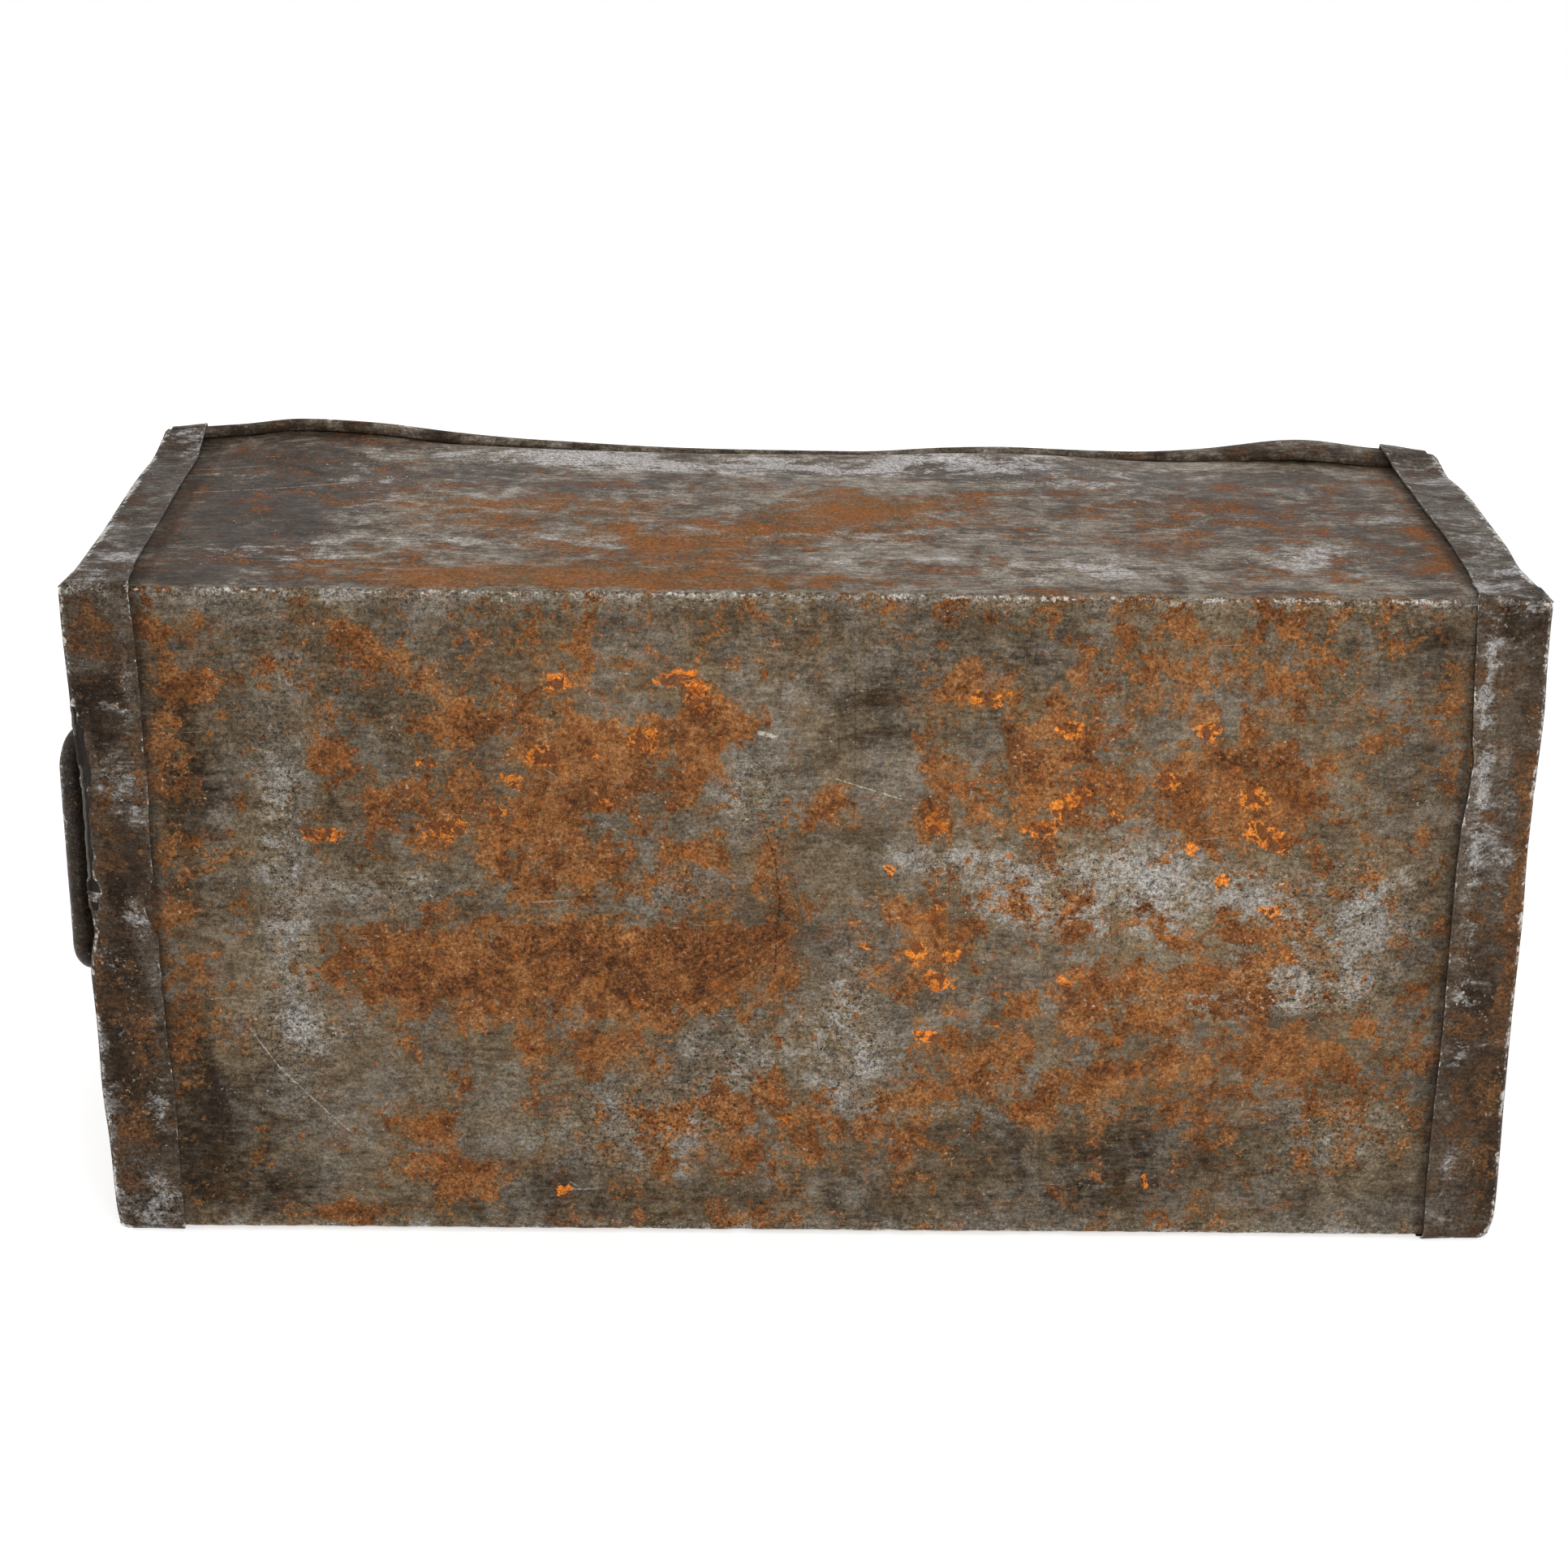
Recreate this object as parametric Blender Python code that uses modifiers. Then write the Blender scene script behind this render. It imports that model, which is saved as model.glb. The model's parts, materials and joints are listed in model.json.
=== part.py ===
"""Open tin storage box: a folded body sheet, two wrapped end caps and two bail handles."""
import math

import bmesh
import bpy
from mathutils import Matrix, Vector

# Metres and degrees. The origin is the middle of the floor inside the box, +Z points to the mouth,
# the front wall faces -Y, and the two handled ends face -X and +X. Heights below are measured from
# the body sheet's underside, where an empty one sheet under the origin carries every piece.

# Whole box
BOX_LENGTH = 0.700              # over the two end panels
BODY_WIDTH = 0.341              # over the front and back walls
RIM_HEIGHT = 0.267              # underside of the body sheet to the top of the rolled rim
FIT_GAP = 0.0003                # between sheets that lie on each other
FACE_STEPS = 6                  # flats in a quarter turn of a rolled or rod bend
CORNER_STEPS = 4                # flats in a quarter turn of a folded corner
SHARP_ANGLE = 40                # bends over this stay sharp in the shading
MERGE_DISTANCE = 0.00001

# Body sheet and the wires in its rim
BODY_SHEET = 0.001
RIM_WIRE_RADIUS = 0.0024
RIM_WIRE_SETBACK = 0.002        # wire end to sheet end
RIM_WIRE_RESOLUTION = 2         # eight sides
RIM_CURL_ANGLE = 300            # how far the rim is rolled round its wire

# End caps
END_SHEET = 0.001
BEND_RADIUS = 0.005             # outside of every bend of the cap
FLANGE_WIDTH = 0.036            # lap of the cap over the body, outside of the panel to flange edge
FLANGE_MOUTH_WIDTH = 0.030      # the same at the rim
HOOK_END_ANGLE = 50             # where the flange hook stops on its way over the rim
PANEL_ROLL_HOLLOW = 0.0013      # radius of the open middle of the panel's rolled edge
PANEL_ROLL_ANGLE = 270

# Bail handles
BAIL_ROD_RADIUS = 0.006
BAIL_ROD_RESOLUTION = 4         # twelve sides
BAIL_OUTER_WIDTH = 0.133
BAIL_ARM = 0.055                # pivot axis to the middle of the grip
BAIL_GRIP_BEND = 0.013          # bends measured at the middle of the rod
BAIL_FOOT_BEND = 0.010
BAIL_FOOT_LENGTH = 0.0305       # middle of the arm to the end of the in-turned foot
BAIL_CLEARANCE = 0.0005         # rod to panel and rod to strap
PIVOT_HEIGHT = 0.1322
LEFT_BAIL_REST_ANGLE = 14       # swung out from hanging
RIGHT_BAIL_REST_ANGLE = 0

# Straps, rivets and backing plates
STRAP_THICKNESS = 0.002
STRAP_WIDTH = 0.016
STRAP_LUG_LENGTH = 0.0135       # beyond the middle of the saddle's leg
FOOT_END_PROUD = 0.003          # foot end beyond the strap
RIVET_SHANK_RADIUS = 0.002
RIVET_HEAD_RADIUS = 0.0045
RIVET_HEAD_HEIGHT = 0.0025
RIVET_TAIL_RADIUS = 0.0038
RIVET_TAIL_HEIGHT = 0.0016
RIVET_SIDES = 12
CUT_OVERRUN = 0.004
PLATE_THICKNESS = 0.0015
PLATE_MARGIN = 0.010            # plate edge beyond the straps and the rivets
PLATE_CORNER = 0.006

# Worked out from the sizes above
HALF_LENGTH = BOX_LENGTH / 2
HALF_BODY_WIDTH = BODY_WIDTH / 2
LAP_STEP = END_SHEET + FIT_GAP
BODY_HALF_LENGTH = HALF_LENGTH - BEND_RADIUS
FOLD_RADIUS = BEND_RADIUS - LAP_STEP - BODY_SHEET / 2
WALL_MIDDLE = HALF_BODY_WIDTH - BODY_SHEET / 2
CURL_RADIUS = RIM_WIRE_RADIUS + FIT_GAP + BODY_SHEET / 2
CURL_OUTSIDE = CURL_RADIUS + BODY_SHEET / 2
CURL_CENTRE_Y = WALL_MIDDLE + CURL_RADIUS
CURL_CENTRE_Z = RIM_HEIGHT - CURL_OUTSIDE
PANEL_MIDDLE = HALF_LENGTH - END_SHEET / 2
FLANGE_MIDDLE = HALF_BODY_WIDTH + FIT_GAP + END_SHEET / 2
FLANGE_UNDER_MIDDLE = -FIT_GAP - END_SHEET / 2
CAP_BEND = BEND_RADIUS - END_SHEET / 2
HOOK_RADIUS = CURL_OUTSIDE + FIT_GAP + END_SHEET / 2
HOOK_START_ANGLE = -math.degrees(math.acos((CURL_CENTRE_Y - FLANGE_MIDDLE) / HOOK_RADIUS))
HOOK_START_Z = CURL_CENTRE_Z + HOOK_RADIUS * math.sin(math.radians(HOOK_START_ANGLE))
PANEL_ROLL_RADIUS = PANEL_ROLL_HOLLOW + END_SHEET / 2
PANEL_ROLL_Z = RIM_HEIGHT - PANEL_ROLL_RADIUS - END_SHEET / 2
PIVOT_OUT = BAIL_ROD_RADIUS + BAIL_CLEARANCE
SADDLE_RADIUS = PIVOT_OUT + STRAP_THICKNESS / 2
ARM_Y = BAIL_OUTER_WIDTH / 2 - BAIL_ROD_RADIUS
STRAP_Y = ARM_Y - BAIL_FOOT_LENGTH + FOOT_END_PROUD + STRAP_WIDTH / 2
LUG_MIDDLE = FIT_GAP + STRAP_THICKNESS / 2
RIVET_OFFSET = SADDLE_RADIUS + (STRAP_LUG_LENGTH + STRAP_THICKNESS / 2) / 2
RIVET_HEAD_SEAT = FIT_GAP + STRAP_THICKNESS + FIT_GAP
PLATE_OUTER = END_SHEET + FIT_GAP
RIVET_TAIL_SEAT = PLATE_OUTER + PLATE_THICKNESS + FIT_GAP
RIVET_HOLE_RADIUS = RIVET_SHANK_RADIUS + FIT_GAP

ENDS = (("left", -1), ("right", 1))
SIDES = (("front", -1), ("back", 1))
LEVELS = (("lower", -1), ("upper", 1))

# Colour, roughness and metallic of each kind of piece
FINISHES = {
    "body": ((0.30, 0.19, 0.12, 1), 0.75, 0.5),
    "cap": ((0.26, 0.21, 0.17, 1), 0.65, 0.6),
    "wire": ((0.14, 0.10, 0.08, 1), 0.7, 0.6),
    "bail": ((0.13, 0.11, 0.10, 1), 0.5, 0.8),
    "strap": ((0.20, 0.16, 0.13, 1), 0.6, 0.7),
    "rivet": ((0.27, 0.24, 0.21, 1), 0.5, 0.8),
    "plate": ((0.25, 0.20, 0.16, 1), 0.7, 0.6),
}


def clear_scene():
    """Remove what the file opened with."""
    for old in list(bpy.data.objects):
        bpy.data.objects.remove(old, do_unlink=True)


def new_collection(name):
    """Return a collection linked to the scene."""
    made = bpy.data.collections.new(name)
    bpy.context.scene.collection.children.link(made)
    return made


def make_underside():
    """The empty that carries every piece, so that the floor inside comes to height zero."""
    empty = bpy.data.objects.new("underside", None)
    empty.location.z = -BODY_SHEET
    box_pieces.objects.link(empty)
    return empty


def add_piece(name, data, kind):
    """Put a mesh or curve in the box's collection with a material of its own."""
    colour, roughness, metallic = FINISHES[kind]
    material = bpy.data.materials.new(name)
    material.use_nodes = True
    shader = material.node_tree.nodes["Principled BSDF"]
    shader.inputs["Base Color"].default_value = colour
    shader.inputs["Roughness"].default_value = roughness
    shader.inputs["Metallic"].default_value = metallic
    piece = bpy.data.objects.new(name, data)
    piece.parent = underside
    box_pieces.objects.link(piece)
    if not data.materials:
        data.materials.append(None)
    piece.material_slots[0].link = "OBJECT"
    piece.material_slots[0].material = material
    return piece


def mesh_from(bm, name):
    """Turn a bmesh into a smooth-shaded mesh with sharp bends."""
    mesh = bpy.data.meshes.new(name)
    bm.to_mesh(mesh)
    bm.free()
    mesh.shade_smooth()
    mesh.set_sharp_from_angle(angle=math.radians(SHARP_ANGLE))
    return mesh


def arc(centre, radius, start, end):
    """Points of an arc in a plane, with FACE_STEPS flats to a quarter turn."""
    steps = max(1, round(abs(end - start) / 90 * FACE_STEPS))
    points = []
    for index in range(steps + 1):
        angle = math.radians(start + (end - start) * index / steps)
        points.append((centre[0] + radius * math.cos(angle), centre[1] + radius * math.sin(angle)))
    return points


def extrude_chain(bm, points, sweep):
    """Draw an open chain of edges and pull it along one vector into a strip of sheet."""
    verts = [bm.verts.new(point) for point in points]
    edges = [bm.edges.new(pair) for pair in zip(verts, verts[1:])]
    pulled = bmesh.ops.extrude_edge_only(bm, edges=edges)
    moved = [item for item in pulled["geom"] if isinstance(item, bmesh.types.BMVert)]
    bmesh.ops.translate(bm, verts=moved, vec=sweep)


def extrude_edges(bm, edges, path):
    """Pull boundary edges along a path of places, each given from the first."""
    done = Vector(path[0])
    for place in path[1:]:
        pulled = bmesh.ops.extrude_edge_only(bm, edges=edges)["geom"]
        edges = [item for item in pulled if isinstance(item, bmesh.types.BMEdge)]
        verts = [item for item in pulled if isinstance(item, bmesh.types.BMVert)]
        bmesh.ops.translate(bm, verts=verts, vec=Vector(place) - done)
        done = Vector(place)


def add_thickness(piece, thickness):
    """Give a sheet its gauge, half to each side."""
    solid = piece.modifiers.new("gauge", "SOLIDIFY")
    solid.thickness = thickness
    solid.offset = 0
    solid.use_even_offset = True
    solid.use_quality_normals = True


def add_mirror(piece):
    """Complete a piece that is drawn for +Y only."""
    mirror = piece.modifiers.new("other half", "MIRROR")
    mirror.use_axis = (False, True, False)
    mirror.merge_threshold = MERGE_DISTANCE


def cut_rivet_holes(piece, cutter):
    """Drill the piece with its end's rivet cutter."""
    hole = piece.modifiers.new("rivet holes", "BOOLEAN")
    hole.operation = "DIFFERENCE"
    hole.object = cutter


def make_rivet_cutter(end, side):
    """Four drills, one on each rivet's axis, through strap, panel and plate."""
    bm = bmesh.new()
    deep = RIVET_HEAD_SEAT + RIVET_TAIL_SEAT + 2 * CUT_OVERRUN
    middle = side * (HALF_LENGTH + (RIVET_HEAD_SEAT - RIVET_TAIL_SEAT) / 2)
    for _, across in SIDES:
        for _, up in LEVELS:
            place = Vector((middle, across * STRAP_Y, PIVOT_HEIGHT + up * RIVET_OFFSET))
            turn = Matrix.Rotation(math.radians(90), 4, "Y")
            bmesh.ops.create_cone(bm, cap_ends=True, segments=RIVET_SIDES,
                                  radius1=RIVET_HOLE_RADIUS, radius2=RIVET_HOLE_RADIUS,
                                  depth=deep, matrix=Matrix.Translation(place) @ turn)
    cutter = bpy.data.objects.new(end + "_rivet_drills", mesh_from(bm, end + "_rivet_drills"))
    cutter.display_type = "WIRE"
    cutter.hide_render = True
    cutter.parent = underside
    cutters.objects.link(cutter)
    return cutter


def make_body_sheet():
    """Bottom, front wall and back wall in one sheet, its two long rims rolled round a wire."""
    half = [(0, BODY_SHEET / 2)]
    fold_centre = (WALL_MIDDLE - FOLD_RADIUS, BODY_SHEET / 2 + FOLD_RADIUS)
    half += arc(fold_centre, FOLD_RADIUS, -90, 0)
    half += arc((CURL_CENTRE_Y, CURL_CENTRE_Z), CURL_RADIUS, 180, 180 - RIM_CURL_ANGLE)
    bm = bmesh.new()
    extrude_chain(bm, [(-BODY_HALF_LENGTH, y, z) for y, z in half], (2 * BODY_HALF_LENGTH, 0, 0))
    bmesh.ops.recalc_face_normals(bm, faces=bm.faces)
    piece = add_piece("body_sheet", mesh_from(bm, "body_sheet"), "body")
    add_mirror(piece)
    add_thickness(piece, BODY_SHEET)


def make_rim_wire(name, across):
    """The round wire that stiffens one long rim."""
    reach = BODY_HALF_LENGTH - RIM_WIRE_SETBACK
    wire = make_rod(name, [(-reach, 0, 0), (reach, 0, 0)], RIM_WIRE_RADIUS, RIM_WIRE_RESOLUTION)
    piece = add_piece(name, wire, "wire")
    piece.location = (0, across * CURL_CENTRE_Y, CURL_CENTRE_Z)


def make_rod(name, points, radius, resolution):
    """A round rod along a list of points."""
    curve = bpy.data.curves.new(name, "CURVE")
    curve.dimensions = "3D"
    curve.bevel_depth = radius
    curve.bevel_resolution = resolution
    curve.use_fill_caps = True
    spline = curve.splines.new("POLY")
    spline.points.add(len(points) - 1)
    for knot, point in zip(spline.points, points):
        knot.co = (*point, 1)
    return curve


def cap_tray(bm):
    """Panel and flanges of the +Y half of the +X cap, up to the foot of the rim hook."""
    inner_x = HALF_LENGTH - FLANGE_WIDTH
    low = Vector((inner_x, 0, FLANGE_UNDER_MIDDLE))
    high = Vector((PANEL_MIDDLE, FLANGE_MIDDLE, HOOK_START_Z))
    size = high - low
    place = Matrix.Translation((low + high) / 2) @ Matrix.Diagonal((*size, 1))
    bmesh.ops.create_cube(bm, size=1, matrix=place)
    bm.normal_update()
    open_sides = [face for face in bm.faces
                  if face.normal.x < -0.5 or face.normal.y < -0.5 or face.normal.z > 0.5]
    bmesh.ops.delete(bm, geom=open_sides, context="FACES")
    folds = [edge for edge in bm.edges if len(edge.link_faces) == 2]
    bmesh.ops.bevel(bm, geom=folds, offset=CAP_BEND, segments=CORNER_STEPS, profile=0.5,
                    affect="EDGES", clamp_overlap=False)


def top_edges(bm, along):
    """Boundary edges at the tray's top that run along one axis for more than a bend."""
    found = []
    for edge in bm.edges:
        first, second = (vert.co for vert in edge.verts)
        level = max(abs(first.z - HOOK_START_Z), abs(second.z - HOOK_START_Z)) < FIT_GAP
        run = second - first
        straight = abs(run[along]) > run.length - FIT_GAP and run.length > CAP_BEND
        if edge.is_boundary and level and straight:
            found.append(edge)
    return found


def make_end_cap(end, side, cutter):
    """End panel with flanges wrapped over the body, hooked over the rims, its own edge rolled."""
    bm = bmesh.new()
    cap_tray(bm)
    flange_edges = top_edges(bm, 0)
    panel_edges = top_edges(bm, 1)
    for edge in flange_edges:
        inner = min(edge.verts, key=lambda vert: vert.co.x)
        inner.co.x = HALF_LENGTH - FLANGE_MOUTH_WIDTH
    hook = arc((0, 0), HOOK_RADIUS, -180 - HOOK_START_ANGLE, 180 - HOOK_END_ANGLE)
    hook_path = [(0, y - hook[0][0], z - hook[0][1]) for y, z in hook]
    roll = arc((PANEL_ROLL_RADIUS, PANEL_ROLL_Z - HOOK_START_Z), PANEL_ROLL_RADIUS,
               180, 180 - PANEL_ROLL_ANGLE)
    roll_path = [(0, 0, 0)] + [(x, 0, z) for x, z in roll]
    extrude_edges(bm, flange_edges, hook_path)
    extrude_edges(bm, panel_edges, roll_path)
    bmesh.ops.scale(bm, vec=(side, 1, 1), verts=bm.verts)
    bmesh.ops.recalc_face_normals(bm, faces=bm.faces)
    piece = add_piece(end + "_end_cap", mesh_from(bm, end + "_end_cap"), "cap")
    add_mirror(piece)
    add_thickness(piece, END_SHEET)
    cut_rivet_holes(piece, cutter)


def bail_route():
    """Middle line of a hanging bail in its own Y-Z plane, foot to foot, pivot at the origin."""
    foot_end = (ARM_Y - BAIL_FOOT_LENGTH, 0)
    foot_bend = arc((ARM_Y - BAIL_FOOT_BEND, -BAIL_FOOT_BEND), BAIL_FOOT_BEND, 90, 0)
    grip_centre = (ARM_Y - BAIL_GRIP_BEND, BAIL_GRIP_BEND - BAIL_ARM)
    grip_bend = arc(grip_centre, BAIL_GRIP_BEND, 0, -90)
    half = [foot_end] + foot_bend + grip_bend
    other = [(-y, z) for y, z in reversed(half)]
    return [(0, y, z) for y, z in half + other]


def make_bail(end, side, rest_angle):
    """Round rod handle, its object's origin on the pivot axis."""
    rod = make_rod(end + "_bail", bail_route(), BAIL_ROD_RADIUS, BAIL_ROD_RESOLUTION)
    piece = add_piece(end + "_bail", rod, "bail")
    piece.location = (side * (HALF_LENGTH + PIVOT_OUT), 0, PIVOT_HEIGHT)
    piece.rotation_euler.y = -side * math.radians(rest_angle)


def make_strap_mesh(side):
    """Saddle strap: a lug, half a turn over the bail's foot, and a lug."""
    saddle = arc((PIVOT_OUT, 0), SADDLE_RADIUS, -90, 90)
    lug_end = SADDLE_RADIUS + STRAP_LUG_LENGTH
    profile = [(LUG_MIDDLE, -lug_end), (LUG_MIDDLE, -SADDLE_RADIUS)]
    profile += saddle
    profile += [(LUG_MIDDLE, SADDLE_RADIUS), (LUG_MIDDLE, lug_end)]
    bm = bmesh.new()
    chain = [(side * out, -STRAP_WIDTH / 2, z) for out, z in profile]
    extrude_chain(bm, chain, (0, STRAP_WIDTH, 0))
    bmesh.ops.recalc_face_normals(bm, faces=bm.faces)
    return mesh_from(bm, "strap")


def make_straps(end, side, cutter):
    """The two straps that hold one bail by its feet."""
    strap_mesh = make_strap_mesh(side)
    for row, across in SIDES:
        piece = add_piece(end + "_" + row + "_strap", strap_mesh, "strap")
        piece.location = (side * HALF_LENGTH, across * STRAP_Y, PIVOT_HEIGHT)
        add_thickness(piece, STRAP_THICKNESS)
        cut_rivet_holes(piece, cutter)


def make_rivet_mesh():
    """Half section of a rivet on its own axis, domed outside, flattened tail inside."""
    dome = arc((0, 0), 1, 90, 0)
    profile = [(x * RIVET_HEAD_RADIUS, RIVET_HEAD_SEAT + z * RIVET_HEAD_HEIGHT) for x, z in dome]
    profile[0] = (0, RIVET_HEAD_SEAT + RIVET_HEAD_HEIGHT)
    profile += [(RIVET_SHANK_RADIUS, RIVET_HEAD_SEAT), (RIVET_SHANK_RADIUS, -RIVET_TAIL_SEAT)]
    tail_end = -RIVET_TAIL_SEAT - RIVET_TAIL_HEIGHT
    profile += [(RIVET_TAIL_RADIUS, -RIVET_TAIL_SEAT), (RIVET_SHANK_RADIUS, tail_end)]
    profile += [(0, tail_end)]
    bm = bmesh.new()
    verts = [bm.verts.new((x, 0, z)) for x, z in profile]
    for pair in zip(verts, verts[1:]):
        bm.edges.new(pair)
    return mesh_from(bm, "rivet")


def make_rivets(end, side):
    """Four rivets, one above and one below each strap's saddle."""
    rivet_mesh = make_rivet_mesh()
    for row, across in SIDES:
        for level, up in LEVELS:
            name = end + "_" + row + "_" + level + "_rivet"
            piece = add_piece(name, rivet_mesh, "rivet")
            height = PIVOT_HEIGHT + up * RIVET_OFFSET
            piece.location = (side * HALF_LENGTH, across * STRAP_Y, height)
            piece.rotation_euler.y = side * math.radians(90)
            turned = piece.modifiers.new("turned", "SCREW")
            turned.steps = RIVET_SIDES
            turned.render_steps = RIVET_SIDES
            turned.use_merge_vertices = True
            turned.merge_threshold = MERGE_DISTANCE


def make_backing_plate(end, side, cutter):
    """Plate inside the end panel that spreads the load of the rivets."""
    size_y = 2 * (STRAP_Y + STRAP_WIDTH / 2 + PLATE_MARGIN)
    size_z = 2 * (RIVET_OFFSET + PLATE_MARGIN)
    bm = bmesh.new()
    bmesh.ops.create_cube(bm, size=1, matrix=Matrix.Diagonal((PLATE_THICKNESS, size_y, size_z, 1)))
    corners = [edge for edge in bm.edges
               if abs(edge.verts[0].co.x - edge.verts[1].co.x) > PLATE_THICKNESS / 2]
    bmesh.ops.bevel(bm, geom=corners, offset=PLATE_CORNER, segments=CORNER_STEPS,
                    profile=0.5, affect="EDGES")
    piece = add_piece(end + "_backing_plate", mesh_from(bm, end + "_backing_plate"), "plate")
    inside = HALF_LENGTH - PLATE_OUTER - PLATE_THICKNESS / 2
    piece.location = (side * inside, 0, PIVOT_HEIGHT)
    cut_rivet_holes(piece, cutter)


clear_scene()
box_pieces = new_collection("tin_storage_box")
cutters = new_collection("cutters")
underside = make_underside()
make_body_sheet()
for row_name, row_side in SIDES:
    make_rim_wire(row_name + "_rim_wire", row_side)
for end_name, end_side in ENDS:
    drills = make_rivet_cutter(end_name, end_side)
    make_end_cap(end_name, end_side, drills)
    make_backing_plate(end_name, end_side, drills)
    make_straps(end_name, end_side, drills)
    make_rivets(end_name, end_side)
make_bail("left", -1, LEFT_BAIL_REST_ANGLE)
make_bail("right", 1, RIGHT_BAIL_REST_ANGLE)
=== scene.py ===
import json
import math

import bmesh
import bpy
import numpy as np
from mathutils import Matrix, Vector, noise


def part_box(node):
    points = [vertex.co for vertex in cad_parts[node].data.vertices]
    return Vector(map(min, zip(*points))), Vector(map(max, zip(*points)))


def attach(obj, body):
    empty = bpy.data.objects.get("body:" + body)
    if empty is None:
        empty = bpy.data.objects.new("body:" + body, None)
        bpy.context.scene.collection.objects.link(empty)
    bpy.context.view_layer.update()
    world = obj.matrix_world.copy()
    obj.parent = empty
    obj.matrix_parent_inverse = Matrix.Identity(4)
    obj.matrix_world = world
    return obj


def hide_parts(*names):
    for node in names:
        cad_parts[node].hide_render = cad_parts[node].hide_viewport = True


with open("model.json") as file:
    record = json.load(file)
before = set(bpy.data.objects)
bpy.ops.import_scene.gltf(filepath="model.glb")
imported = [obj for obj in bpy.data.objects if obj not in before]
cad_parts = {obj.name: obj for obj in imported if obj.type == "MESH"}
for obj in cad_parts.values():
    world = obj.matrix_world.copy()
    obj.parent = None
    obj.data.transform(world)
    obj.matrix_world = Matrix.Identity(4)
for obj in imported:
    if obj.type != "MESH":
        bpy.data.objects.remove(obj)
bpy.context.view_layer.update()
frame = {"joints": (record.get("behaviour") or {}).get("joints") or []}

# Old storage box of folded sheet steel, open at the top. Metres, +Z to the mouth, front wall at -Y.
# In the picture it lies on its back wall, so the camera looks up at the rusty bottom.

mm = 0.001
bodyLow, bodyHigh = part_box("body_sheet")
capLow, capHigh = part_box("right_end_cap")
pivots = {joint["child"]: Vector(joint["pos_m"]) for joint in frame["joints"]}
rollReach = 6.4 * mm     # how far the rolled rims and the hooks over them stand out past the walls


# Shader tools

def srgb(red, green, blue):
    return tuple(fraction / 12.92 if fraction <= 0.04045 else ((fraction + 0.055) / 1.055) ** 2.4
                 for fraction in (red / 255, green / 255, blue / 255)) + (1,)


class Net:
    # short calls for the nodes of one tree
    def __init__(self, tree):
        self.tree = tree

    def put(self, kind, inputs=None, **settings):
        node = self.tree.nodes.new("ShaderNode" + kind)
        for key, value in settings.items():
            setattr(node, key, value)
        for key, value in (inputs or {}).items():
            if isinstance(value, bpy.types.NodeSocket):
                self.tree.links.new(value, node.inputs[key])
            else:
                node.inputs[key].default_value = value
        return node

    def sums(self, operation, first, second=0.0, third=0.0, clamp=False):
        return self.put("Math", {0: first, 1: second, 2: third}, operation=operation, use_clamp=clamp).outputs[0]

    def times(self, first, second, clamp=False):
        return self.sums("MULTIPLY", first, second, clamp=clamp)

    def less(self, first, second, clamp=False):
        return self.sums("SUBTRACT", first, second, clamp=clamp)

    def scaled(self, value, gain, start):
        return self.sums("MULTIPLY_ADD", value, gain, start)

    def most(self, value, *others):
        for other in others:
            value = self.sums("MAXIMUM", value, other)
        return value

    def layered(self, layers, start=0.5):
        # noises added round their middle, each with its weight
        for value, weight in layers:
            start = self.scaled(self.less(value, 0.5), weight, start)
        return start

    def grain(self, where, scale, detail=4.0, roughness=0.6, distortion=0.0):
        return self.put("TexNoise", {"Vector": where, "Scale": scale, "Detail": detail, "Roughness": roughness,
                                     "Distortion": distortion}).outputs[0]

    def stretched(self, where, scale):
        return self.put("Mapping", {"Vector": where, "Scale": scale}, vector_type="POINT").outputs[0]

    def between(self, value, low, high):
        return self.put("MapRange", {"Value": value, "From Min": low, "From Max": high},
                        interpolation_type="SMOOTHSTEP").outputs[0]

    def mix(self, share, first, second, blend="MIX"):
        # a colour is a socket or red, green and blue from 0 to 255
        first, second = (srgb(*colour) if isinstance(colour, tuple) else colour for colour in (first, second))
        return self.put("Mix", {0: share, 6: first, 7: second}, data_type="RGBA", blend_type=blend).outputs[2]

    def ramp(self, value, stops):
        node = self.put("ValToRGB", {0: value})
        bar = node.color_ramp.elements
        while len(bar) < len(stops):
            bar.new(0.5)
        for spot, (place, colour) in zip(bar, stops):
            spot.position = place
            spot.color = srgb(*colour)
        return node.outputs[0]

    def use(self, group, inputs):
        return self.put("Group", inputs, node_tree=group).outputs

    def close(self, **outputs):
        for socket in outputs:
            self.tree.interface.new_socket(socket, in_out="OUTPUT", socket_type="NodeSocketFloat")
        end = self.tree.nodes.new("NodeGroupOutput")
        for socket, value in outputs.items():
            self.tree.links.new(value, end.inputs[socket])
        return self.tree


def newGroup(name, **inputs):
    # an input without a value is a vector
    tree = bpy.data.node_groups.new(name, "ShaderNodeTree")
    for socket, value in {"Vector": None, **inputs}.items():
        kind = "NodeSocketVector" if value is None else "NodeSocketFloat"
        made = tree.interface.new_socket(socket, in_out="INPUT", socket_type=kind)
        if value is not None:
            made.default_value = value
    return Net(tree), tree.nodes.new("NodeGroupInput").outputs


# Camera and stage

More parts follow.
